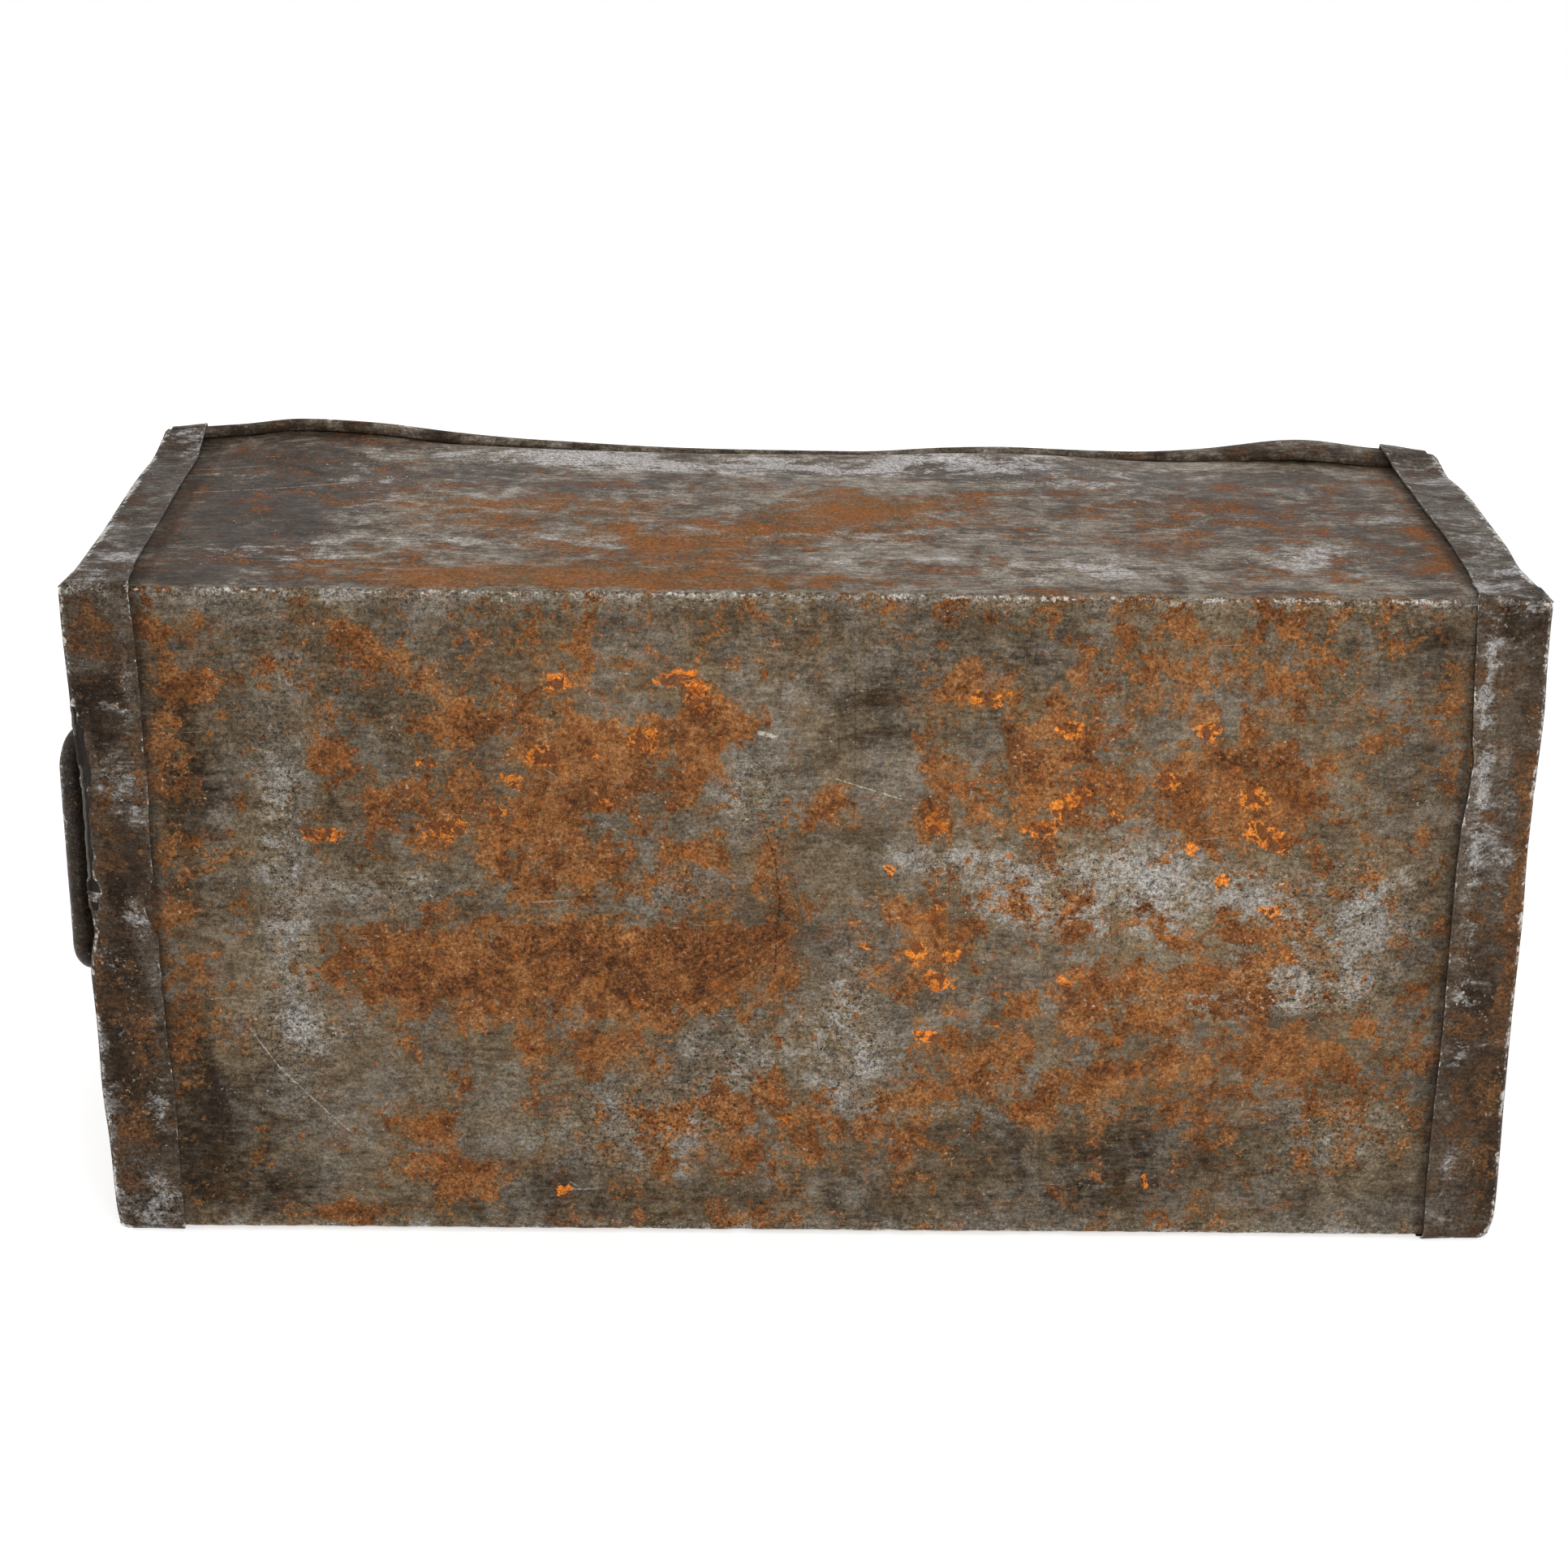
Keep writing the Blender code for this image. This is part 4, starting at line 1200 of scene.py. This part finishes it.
bodyTones = {            # layer: spots, base and gain on the bottom, the front and the back (mirrored)
    "rust": ((bottomRust, 0.29, 0.92), (frontRust, 0, 0.3), (frontRust, 0.2, 0.8)),
    "stain": ((bottomRust, 0.15, 0.5), (frontRust, 0.24, 1.05), (frontRust, 0.4, 1)),
    "fresh": ((bottomFresh, 0, 1), ((), 0, 0), ((), 0, 0)),
    "dots": ((bottomDots, 0, 1), ((), 0.12, 0), ((), 0.4, 0)),
    # lift scales the colour as painted light and shade; on the front it follows the pale spots and their sheen
    # band
    "lift": ((bottomPaintedLight, 0.5, 1), (frontPale, 0.52, 0.1), ((), 0.5, 0)),
    "smears": (((), 0.3, 0), ((), 1, 0), ((), 1, 0)),
    "pale": ((bottomPale, 0, 1.25), (frontPale, 0, 1), (frontPale, 0, 0.6)),
    # dark smudges, and painted shade: a base of it darkens the walls
    "smudgeAndShade": ((bottomSmudgeAndShade, 0, 1), (frontSmudgeAndShade, 0.42, 1), (frontSmudgeAndShade, 0.3, 1)),
}


def capTones(own):
    # layer: spots, base and gain on the bottom flange, the upright flanges and the end panel
    return {
        "rust": ((own["rust"], 0.15, 1.15), ((), 0, 0), (panelSpots["rust"], 0.14, 1)),
        "stain": ((own["rust"], 0.3, 0.9), ((), 0.22, 0), (panelSpots["rust"], 0.32, 1)),
        "fresh": (((), 0, 0), ((), 0, 0), ((), 0, 0)),
        "dots": (((), 0.25, 0), ((), 0.15, 0), ((), 0.15, 0)),
        "lift": (((), own["lift"], 0), ((), 0.5, 0), ((), 0.5, 0)),
        "smears": (((), 0.4, 0), ((), 1, 0), ((), 0.5, 0)),
        "pale": ((own["pale"], 0.1, 0.85), ((), 0.24, 0), (panelSpots["pale"], 0, 1)),
        "smudgeAndShade": ((own["smudgeAndShade"], 0.3, 1), ((), 0.45, 0), (panelSpots["smudgeAndShade"], 0.4, 1)),
    }


def layerTones(tones, sheets):
    # each layer's base and spots on every sheet, by the sheets' shares
    return {name: sum(share * (base + gain * spots(table, across, along))
                      for (table, base, gain), (share, across, along) in zip(rows, sheets))
            for name, rows in tones.items()}


bodyPlaces = {           # from where to where a mask rises, or its middle and its reach
    "floor": (2 * mm, 4 * mm), "roll": (256 * mm, 258 * mm), "lipUp": (263 * mm, 266 * mm),
    "lipOut": (174.5 * mm, 176.8 * mm), "seam": (311 * mm, 315.5 * mm), "besideSeam": (285 * mm, 312 * mm),
    "fold": (halfWidth - 0.9 * mm, 0.1 * mm, 2.1 * mm), "paleFold": (halfWidth - mm, 0, 5 * mm),
    "underRoll": (172 * mm, 257 * mm, 4 * mm), "crease": (-14 * mm, 0, 20 * mm),
}
bendSkin = 1.3 * mm      # from a bend's middle line to its rubbed face
capPlaces = {
    "flange": (0, 5 * mm), "panel": (347 * mm, 349 * mm), "lip": (264.5 * mm, 266.5 * mm),
    "foot": (348 * mm, 349.3 * mm), "footTop": (14 * mm, 60 * mm), "underHook": (flangeY, hookZ, 3 * mm),
    "brink": (-reachX - 2.0 * mm, -reachX - 0.4 * mm),
    "lowBend": (panelX - bendSkin, flangeZ + bendSkin, 2.6 * mm),
    "cornerBend": (flangeY - bendSkin, flangeZ + bendSkin, 2.6 * mm),
    "uprightBend": (panelX - 2.8 * mm, flangeY - 0.6 * mm, 3.4 * mm),
    "paleBands": ((30 * mm, 0, 40 * mm), (240 * mm, 0, 30 * mm)),
}


def paintBody(piece):
    x, y, z = straightPlace(piece).T
    reach, aside, at = np.abs(x), np.abs(y), bodyPlaces
    bottom = 1 - rise(z, *at["floor"])
    front, back = (1 - bottom) * (y < 0), (1 - bottom) * (y > 0)
    roll = rise(z, *at["roll"]) * rise(aside, halfWidth, halfWidth + mm)
    layers = layerTones(bodyTones, ((bottom, x, y), (front, x, z), (back, -x, z)))
    layers["stain"] *= 1 - 0.5 * roll
    # pale along the folds, partly a painted highlight
    layers["pale"] += 0.5 * near(aside, z, at["paleFold"])
    fold = near(aside, z, at["fold"]) * (0.85 + spots(foldChips, x, 0 * x))
    # rubbed wear, and painted highlight along the folds and the top and the outer side of the roll
    layers["wearAndHighlight"] = 0.92 * fold + 0.5 * rise(z, *at["lipUp"]) + 0.45 * rise(aside, *at["lipOut"])
    # painted shadow along the flange edges, under the roll and in the crease; a darker band beside the flanges,
    # and dirt on the roll
    layers["grimeAndShade"] = (1.1 * rise(reach, *at["seam"]) + 0.3 * rise(reach, *at["besideSeam"]) + 0.2 * roll
                       + 0.8 * near(aside, z, at["underRoll"])
                       + 0.5 * near(x, y, at["crease"]) * bottom)
    paint(piece, layers)


def paintCap(piece, side):
    x, y, z = straightPlace(piece).T
    reach, aside, at = np.abs(x), np.abs(y), capPlaces
    bottom = 1 - rise(z, *at["flange"])
    panel = rise(reach, *at["panel"]) * (z > 2 * mm)
    flanges = (1 - bottom) * (1 - panel)
    layers = layerTones(capTones(leftCapSpots if side < 0 else rightCapSpots),
                        ((bottom, x, y), (flanges, x, z), ((1 - bottom) * panel, y * side, z)))
    bands = sum(near(z, 0, band) for band in at["paleBands"])
    layers["pale"] += 0.3 * bands * flanges
    # rubbed metal, partly painted highlight, on the bends, the curl's top and the flange's inner edge
    layers["wearAndHighlight"] = (0.85 * near(reach, z, at["lowBend"]) + 0.4 * rise(z, *at["lip"])
                      + 0.9 * near(reach, aside, at["uprightBend"])
                      + 0.6 * near(aside, z, at["cornerBend"]) + 0.75 * rise(-reach, *at["brink"]))
    foot = rise(reach, *at["foot"]) * (1 - rise(z, *at["footTop"])) * (side < 0)
    # painted shade under the hooks, a little dirt all over, and darker at the foot of the left panel
    layers["grimeAndShade"] = 0.5 * near(aside, z, at["underHook"]) + 0.15 + 0.8 * foot
    paint(piece, layers)


def paintPart(piece, rust, wearAndHighlight, smudgeAndShade=0.3, dots=0.3):
    # small fittings: the same rust all over, wear and painted highlight on what stands out, darker away from it
    reach = np.abs(straightPlace(piece)[:, 0])
    out = rise(reach, reach.max() - 6 * mm, reach.max())
    layers = {"rust": rust, "stain": 0.35, "fresh": 0, "dots": dots, "lift": 0.5, "pale": 0.2, "smudgeAndShade": smudgeAndShade,
              "smears": 0.5, "outside": 1, "wearAndHighlight": wearAndHighlight * out, "grimeAndShade": 0.5 - 0.3 * out}
    paint(piece, {name: values + 0 * out for name, values in layers.items()})


# Shader groups, shared by all finishes. A grain's numbers are scale, detail, roughness and distortion

def makeSheetGroundGroup():
    # bare sheet: clouds, mottling, strokes and smears along the sheet, grit and light flecks
    net, given = newGroup("sheet ground", Smears=1.0, Pale=0.0)
    where, smears, pale = given["Vector"], given["Smears"], given["Pale"]
    smear = net.grain(net.stretched(where, (0.55, 1, 1)), 56, 12, 0.76, 0.6)
    strokes = net.grain(net.stretched(where, (0.2, 1, 1)), 560, 3, 0.6)
    plates = net.between(net.grain(where, 30, 12, 0.76, 0.5), 0.47, 0.53)
    grit = net.layered(((net.grain(where, 560, 3, 0.75), 0.8), (net.grain(where, 1250, 1, 0.5), 0.4)))
    coarser = net.scaled(pale, 1.0, 1.05)
    flecks = net.scaled(pale, 0.07, net.grain(where, 640, 2, 0.5))
    patch = net.between(net.grain(where, 38, 3), 0.48, 0.62)
    shade = net.layered((
        (net.grain(where, 9, 3, 0.5, 0.6), 0.35), (net.grain(where, 95, 10, 0.78, 0.3), 1.1), (plates, 0.13),
        (smear, net.times(smears, 2.0)), (strokes, net.scaled(smears, 0.5, 0.5))))
    return net.close(
        Shade=shade, Smear=smear, Plates=plates, Grit=net.layered(((grit, coarser),)),
        Fleck=net.times(net.between(flecks, 0.66, 0.73), patch),
        Film=net.between(net.grain(where, 22, 12, 0.75, 0.6), 0.455, 0.53))


def makeRustGroup():
    # organic patches whose share of the surface follows Amount, granular inside
    net, given = newGroup("rust growth", Amount=0.5)
    where = given["Vector"]
    grain = net.grain(where, 640, 3, 0.7)
    level = net.layered((
        (net.grain(where, 24, 3, 0.55, 0.6), 0.9), (net.grain(where, 64, 9, 0.70, 0.4), 1.9),
        (net.grain(where, 250, 5, 0.75, 0.3), 1.0), (grain, 0.5)), given["Amount"])
    ember = net.most(net.between(net.grain(where, 105, 7, 0.72, 0.6), 0.54, 0.64),
                     net.between(net.grain(where, 240, 3, 0.6), 0.65, 0.70))
    solid = net.between(net.grain(where, 40, 11, 0.74, 0.6), 0.475, 0.535)
    tone = net.layered((
        (net.grain(where, 150, 8, 0.82, 0.3), 1.5), (net.grain(where, 30, 3), 0.6), (grain, 1.6),
        (solid, -0.24), (net.between(level, 0.48, 1.10), -0.15)), 0.56)
    return net.close(
        Mask=net.between(level, 0.488, 0.51), Halo=net.between(level, 0.34, 0.49), Grain=grain,
        Ember=net.times(ember, net.between(level, 0.44, 0.56)), Tone=tone)


def makeDotGroup():
    # soft round rust spots of two sizes, more of them where Amount is high
    net, given = newGroup("rust dots", Amount=0.0)
    where, masks = given["Vector"], []
    sway = net.put("TexNoise", {"Vector": where, "Scale": 150.0, "Detail": 4.0}).outputs["Color"]
    warped = net.put("VectorMath", {0: sway, 1: (0.009,) * 3, 2: where}, operation="MULTIPLY_ADD").outputs[0]
    ragged = net.less(net.grain(where, 190, 9, 0.78), 0.54)
    for scale, share in ((36.0, 1.0), (88.0, 0.9)):
        cells = net.put("TexVoronoi", {"Vector": warped, "Scale": scale}).outputs
        chance = net.put("SeparateColor", {0: cells["Color"]}).outputs[0]
        radius = net.times(net.scaled(chance, 0.34, 0.08), given["Amount"])
        reach = net.scaled(radius, share, net.times(ragged, 0.55))
        masks.append(net.between(net.less(reach, cells["Distance"]), -0.012, 0.012))
    return net.close(Mask=net.most(*masks))


def makeFreshGroup():
    # bright new rust in broken rings and blobs, brown in their hollows, where Fresh is high
    net, given = newGroup("fresh rust", Fresh=0.0)
    where = given["Vector"]
    level = net.layered(((net.grain(where, 110, 5, 0.65, 0.5), 2.0), (net.grain(where, 420, 3, 0.7), 1.2)),
                        given["Fresh"])
    blob = net.between(level, 0.50, 0.57)
    hollow = net.layered(((net.grain(where, 170, 4, 0.6, 0.6), 2.6), (level, 0.4)), 0.42)
    hollow = net.between(hollow, 0.46, 0.56)
    return net.close(Mask=net.times(blob, net.less(1.0, hollow)), Crust=net.times(blob, hollow))


def makeWearGroup():
    # rubbed metal, also used as painted highlight, and dark pits where the mask is high
    net, given = newGroup("edge wear", Wear=0.0)
    where, wearAndHighlight = given["Vector"], given["Wear"]
    level = net.layered(((net.grain(where, 360, 5, 0.7), 2.4), (net.grain(where, 60, 3, 0.6), 1.6)), wearAndHighlight)
    pits = net.between(net.grain(where, 300, 4, 0.6), 0.56, 0.64)
    return net.close(Bright=net.between(level, 0.72, 1.05), Pits=net.times(pits, wearAndHighlight, clamp=True))


def makeScratchGroup():
    # sparse thin scratches in three directions
    net, given = newGroup("scratches")
    total = 0.0
    for turn, scale, cut in ((0.06, 420, 0.80), (0.62, 380, 0.81), (-0.5, 400, 0.815)):
        slanted = net.put("Mapping", {"Vector": given["Vector"], "Rotation": (turn * 0.7, turn * 0.7, turn)})
        lines = net.grain(net.stretched(slanted.outputs[0], (0.03, 1, 1)), scale, 1, 0.4)
        total = net.most(total, net.between(lines, cut, cut + 0.03))
    return net.close(Mask=total)


def makeMarkGroup():
    # one scratch or crack from From to To, a little wavy and broken up
    net, given = newGroup("long mark", From=None, To=None, Width=0.0004)
    where = given["Vector"]

    def vectors(operation, first, second):
        return net.put("VectorMath", {0: first, 1: second}, operation=operation).outputs

    run = vectors("SUBTRACT", given["To"], given["From"])[0]
    away = vectors("SUBTRACT", where, given["From"])[0]
    along = net.sums("DIVIDE", vectors("DOT_PRODUCT", away, run)["Value"],
                     vectors("DOT_PRODUCT", run, run)["Value"], clamp=True)
    foot = net.put("VectorMath", {0: run, "Scale": along}, operation="SCALE").outputs[0]
    sway = net.layered(((net.grain(where, 190, 4, 0.7), 0.0022),), vectors("DISTANCE", away, foot)["Value"])
    line = net.between(net.sums("DIVIDE", net.sums("ABSOLUTE", sway), given["Width"]), 1.0, 0.4)
    broken = net.between(net.grain(where, 420, 3, 0.7), 0.38, 0.5)
    return net.close(Mask=net.times(line, broken))


groups = {
    "ground": makeSheetGroundGroup(), "rust": makeRustGroup(), "dots": makeDotGroup(), "fresh": makeFreshGroup(),
    "wearAndHighlight": makeWearGroup(), "scratches": makeScratchGroup(), "mark": makeMarkGroup(),
}


# Steel finishes

innerShift = (0.37, 0.21, 0.13)               # other parts of the patterns for the sheets' inner faces
cover = {                # how strongly each layer hides what lies under it
    "smudgeAndShade": 0.85, "heart": 0.55, "stain": 0.74, "pale": 0.66, "halo": 0.4, "dots": 0.9, "ember": 0.42,
    "crust": 0.8, "fresh": 0.95, "fleck": 0.7, "dirtAndShade": 0.85, "scratch": 0.35, "worn": 0.9, "pits": 0.85,
}
masks = {                # where each mask sets in and is whole
    "smudgeAndShade": (0.30, 0.78), "stain": (0.30, 0.80), "heart": (0.62, 0.95), "stainTone": (0.25, 0.75),
    "pale": (0.64, 0.90), "freshTone": (0.30, 0.80),
}
relief = {"crust": 0.35, "grain": 0.9, "shade": 0.4, "grit": 0.5, "pits": -0.6, "distance": 0.0006}
worn = {"roughness": 0.32, "metallic": 0.8}   # rubbed edges and painted highlights
rustySheet = {
    "ground": ((0.04, (52, 44, 35)), (0.28, (84, 74, 62)), (0.52, (117, 107, 93)), (0.76, (144, 136, 124)),
               (0.98, (168, 162, 154))),
    "film": (242, 216, 166), "filmShare": 0.6,
    "smudgeAndShade": (158, 138, 118), "pale": (152, 149, 142), "smearedPale": (164, 160, 162), "stain": (152, 94, 42),
    "rust": ((0.10, (66, 40, 23)), (0.34, (96, 59, 32)), (0.56, (124, 78, 42)), (0.78, (148, 98, 56)),
             (0.98, (168, 120, 76))),
    "halo": (112, 92, 60), "ember": (186, 106, 40), "fresh": (232, 140, 50), "crust": (118, 68, 36),
    "freshDark": (168, 92, 34), "bright": (190, 186, 178), "dirtAndShade": (46, 36, 27), "pits": (44, 37, 30),
    "smears": 0.8, "roughness": (0.55, 0.88), "metallic": 0.4, "grit": 3.3, "bump": 0.5,
    "marks": True,
}
wornCap = dict(rustySheet)
wornCap.update({
    "ground": ((0.06, (52, 43, 34)), (0.32, (76, 65, 54)), (0.56, (97, 88, 78)), (0.80, (134, 129, 122)),
               (0.98, (164, 160, 154))),
    "rust": ((0.10, (54, 38, 25)), (0.40, (80, 55, 35)), (0.70, (106, 72, 44)), (0.98, (134, 94, 58))),
    "ember": (136, 88, 50), "halo": (86, 72, 54),
    "smears": 1.0, "stain": (84, 60, 38), "smudgeAndShade": (162, 146, 130), "film": (240, 218, 184), "marks": False,
})
fittingSteel = dict(rustySheet)
fittingSteel.update({
    "ground": ((0.10, (46, 41, 37)), (0.36, (68, 62, 56)), (0.55, (90, 84, 78)), (0.85, (128, 124, 118))),
    "smears": 0.4, "stain": (86, 64, 46), "ember": (112, 74, 44), "marks": False,
})
rubbedRod = dict(fittingSteel)
rubbedRod.update({
    "ground": ((0.10, (30, 27, 25)), (0.36, (46, 42, 39)), (0.55, (64, 60, 56)), (0.85, (112, 108, 104))),
    "smears": 0.3, "roughness": (0.28, 0.66), "metallic": 0.85, "stain": (58, 48, 41), "ember": (72, 54, 42),
})

bodyMarks = (            # sheet, colour, width in mm, share, then x and y (or z) of each point
    ("bottom", (178, 172, 164), 0.45, 0.8, (-273.2, 58.1), (-259.5, 79.5), (-241.4, 99.2), (-225.4, 115.1)),
    ("bottom", (196, 190, 176), 1.5, 0.9, (-22.9, -101.1), (-15.2, -99.1)),
    ("bottom", (196, 188, 164), 0.5, 0.8, (13.9, -77.8), (31.5, -72.1), (45.3, -67.6)),
    ("bottom", (48, 34, 24), 0.55, 0.8, (-20.5, -53), (-14.8, -35.2), (-12.2, -14.6), (-13.5, 3.6),
     (-14.1, 25.5)),
    ("bottom", (66, 54, 42), 0.6, 0.5, (22, -133.1), (22.8, -94.5), (22.9, -54.7)),
    ("bottom", (60, 50, 40), 0.4, 0.6, (38.8, -105), (32.2, -90.4)),
    ("front", (168, 160, 150), 0.6, 0.7, (-314.5, 156.4), (-277.6, 163.7), (-233.2, 177.4)),
)


def addMarks(net, place, colour):
    # single scratches and cracks; each lies on one sheet, whatever its dents
    split = net.put("SeparateXYZ", {0: place}).outputs
    flat, here = {}, {}
    for sheet, up, off, limit in (("bottom", 1, 2, 3 * mm), ("front", 2, 1, -150 * mm)):
        flat[sheet] = net.put("CombineXYZ", {0: split[0], 1: split[up]}).outputs[0]
        here[sheet] = net.sums("LESS_THAN", split[off], limit)
    for sheet, shade, width, share, *line in bodyMarks:
        for start, end in zip(line, line[1:]):
            start, end = ((first * mm, second * mm, 0) for first, second in (start, end))
            mask = net.use(groups["mark"], {"Vector": flat[sheet], "From": start, "To": end,
                                            "Width": width * mm})["Mask"]
            mask = net.times(net.times(mask, share), here[sheet])
            colour = net.mix(mask, colour, shade)
    return colour


def makeSteel(name, look):
    made, net = newMaterial(name)
    given = {layer: net.put("Attribute", attribute_name=layer).outputs["Fac"] for layer in (
        "outside", "rust", "stain", "fresh", "dots", "lift", "smears", "pale", "smudgeAndShade", "wearAndHighlight", "grimeAndShade")}
    inner = net.less(1.0, given["outside"])
    shift = net.put("CombineXYZ", {axis: net.times(inner, step) for axis, step in enumerate(innerShift)})
    where = net.put("VectorMath", {0: net.put("TexCoord").outputs["Object"], 1: shift.outputs[0]},
                    operation="ADD").outputs[0]
    smears = net.times(given["smears"], look["smears"])
    ground = net.use(groups["ground"], {"Vector": where, "Smears": smears, "Pale": given["pale"]})
    rust = net.use(groups["rust"], {"Vector": where, "Amount": given["rust"]})
    dots = net.use(groups["dots"], {"Vector": where, "Amount": given["dots"]})["Mask"]
    fresh = net.use(groups["fresh"], {"Vector": where, "Fresh": given["fresh"]})
    wearAndHighlight = net.use(groups["wearAndHighlight"], {"Vector": where, "Wear": given["wearAndHighlight"]})
    scratch = net.use(groups["scratches"], {"Vector": where})["Mask"]

    def tinted(key):
        return net.mix(1.0, colour, look[key], "MULTIPLY")

    def lay(layer, mask, tint=None):
        # one layer over the colours so far
        return net.mix(net.times(mask, cover[layer]), colour, look[layer] if tint is None else tint)

    # bare sheet under thin films and dark smudges; the smudge layer also paints shade, darker at the left end,
    # on the walls and in a few dimples
    shade = net.scaled(given["pale"], 0.22, net.scaled(given["smudgeAndShade"], -0.24, ground["Shade"]))
    colour = net.ramp(shade, look["ground"])
    filmShare = net.times(ground["Film"], net.scaled(smears, -0.5, look["filmShare"]))
    colour = net.mix(filmShare, colour, tinted("film"))
    smudgeAndShadeShare = net.layered(((ground["Shade"], -0.6), (ground["Smear"], -1.2)), given["smudgeAndShade"])
    colour = lay("smudgeAndShade", net.between(smudgeAndShadeShare, *masks["smudgeAndShade"]), tinted("smudgeAndShade"))

    # soft stains and rubbed pale patches
    stainShare = net.layered(((ground["Smear"], -2.1), (rust["Tone"], 0.5)), given["stain"])
    stainShare = net.between(stainShare, *masks["stain"])
    heart = net.between(net.layered(((ground["Smear"], -2.4), (rust["Tone"], 0.4))), *masks["heart"])
    stainColour = net.mix(net.between(rust["Tone"], *masks["stainTone"]), look["halo"], look["stain"])
    stainColour = net.mix(net.times(heart, cover["heart"]), stainColour, look["ember"])
    colour = lay("stain", stainShare, stainColour)
    paleShare = net.layered(((ground["Smear"], 2.2), (ground["Shade"], 0.8), (ground["Plates"], 0.4)),
                            given["pale"])
    paleColour = net.mix(smears, look["pale"], look["smearedPale"])
    colour = lay("pale", net.between(paleShare, *masks["pale"]), paleColour)

    # rust with its halo, embers and fresh growth
    colour = lay("halo", rust["Halo"])
    scale = net.most(rust["Mask"], net.times(dots, cover["dots"]))
    colour = net.mix(scale, colour, net.ramp(rust["Tone"], look["rust"]))
    colour = lay("ember", rust["Ember"])
    colour = lay("crust", fresh["Crust"])
    freshColour = net.mix(net.between(rust["Tone"], *masks["freshTone"]), look["freshDark"], look["fresh"])
    colour = lay("fresh", fresh["Mask"], freshColour)

    # flecks, dirt and painted shade, scratches, and worn edges with painted highlight
    bright = look["bright"]
    colour = lay("fleck", ground["Fleck"], bright)
    # darkened where dirt and painted shade were set
    dirtAndShade = net.times(given["grimeAndShade"], net.layered(((ground["Shade"], -0.8),), 0.85), clamp=True)
    colour = lay("dirtAndShade", dirtAndShade)
    colour = lay("scratch", scratch, bright)
    # light rubbed metal and painted highlight
    colour = lay("worn", wearAndHighlight["Bright"], bright)
    colour = lay("pits", wearAndHighlight["Pits"])
    if look["marks"]:
        colour = addMarks(net, where, colour)
    gritty = net.scaled(net.less(ground["Grit"], 0.5), look["grit"], 1.0)
    # painted light and shade: the lift attribute makes the colour brighter or darker
    gritty = net.scaled(net.less(given["lift"], 0.5), 1.2, gritty)
    colour = net.put("VectorMath", {0: colour, "Scale": gritty}, operation="SCALE").outputs[0]

    def mixed(share, first, second):
        return net.put("Mix", {0: share, 2: first, 3: second}, data_type="FLOAT").outputs[0]

    bare = net.less(1.0, net.most(rust["Mask"], dots, dirtAndShade, stainShare), clamp=True)
    smooth, coarse = look["roughness"]
    rough = mixed(bare, coarse, net.scaled(ground["Shade"], -0.22, smooth + 0.12))
    rough = mixed(wearAndHighlight["Bright"], rough, worn["roughness"])
    metal = mixed(wearAndHighlight["Bright"], net.times(bare, look["metallic"]), worn["metallic"])
    height = net.times(rust["Mask"], net.scaled(rust["Grain"], relief["grain"], relief["crust"]))
    for value, share in ((ground["Shade"], "shade"), (ground["Grit"], "grit"), (wearAndHighlight["Pits"], "pits")):
        height = net.scaled(value, relief[share], height)
    bump = net.put("Bump", {"Strength": look["bump"], "Distance": relief["distance"], "Height": height})
    shader = net.put("BsdfPrincipled", {"Base Color": colour, "Roughness": rough, "Metallic": metal,
                                        "Normal": bump.outputs[0], "Specular IOR Level": 0.22})
    net.put("OutputMaterial", {"Surface": shader.outputs[0]})
    return made


finishes = {slot: makeSteel(name, look) for slot, name, look in (
    ("body", "rusty sheet", rustySheet), ("cap", "worn end cap", wornCap), ("wire", "rusted wire", fittingSteel),
    ("plate", "dull plate", fittingSteel), ("strap", "strap steel", fittingSteel),
    ("rivet", "rivet steel", fittingSteel), ("bail", "rubbed rod", rubbedRod))}
print("finishes made")


# Put together

def hand(piece, node, finish, body="box"):
    piece.data.materials.clear()
    piece.data.materials.append(finishes[finish])
    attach(piece, body)
    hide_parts(node)


sheet = makeBodySheet("body_sheet")
paintBody(sheet)
hand(sheet, "body_sheet", "body")
for end, side in (("left", -1), ("right", 1)):
    cap = makeEndCap(end + "_end_cap", side)
    paintCap(cap, side)
    hand(cap, end + "_end_cap", "cap")
for node, side in (("front_rim_wire", -1), ("back_rim_wire", 1)):
    wire = makeRimWire(node, side)
    paintPart(wire, 0.5, 0.0)
    hand(wire, node, "wire")
for end, turn in (("left", bail["openLeft"]), ("right", 0)):
    rod = makeBail(end + "_bail", end + "_handle", turn)
    paintPart(rod, -0.9, 0.7, 0.35, 0.0)
    hand(rod, end + "_bail", "bail", end + "_handle")
pattern = makeRivet()
turns = iter((12, 47, 80, 133, 171, 209, 262, 318))
for end, side in (("left", -1), ("right", 1)):
    backing = makePlate(end + "_backing_plate", side)
    paintPart(backing, 0.35, 0.1)
    hand(backing, end + "_backing_plate", "plate")
    for row in ("front", "back"):
        loop = makeStrap(end + "_" + row + "_strap", side)
        paintPart(loop, 0.2, 0.5)
        hand(loop, end + "_" + row + "_strap", "strap")
        for level in ("lower", "upper"):
            node = end + "_" + row + "_" + level + "_rivet"
            stud = setRivet(pattern, node, side, next(turns))
            paintPart(stud, 0.15, 0.6)
            hand(stud, node, "rivet")
bpy.data.objects.remove(pattern)
print("pieces in place")
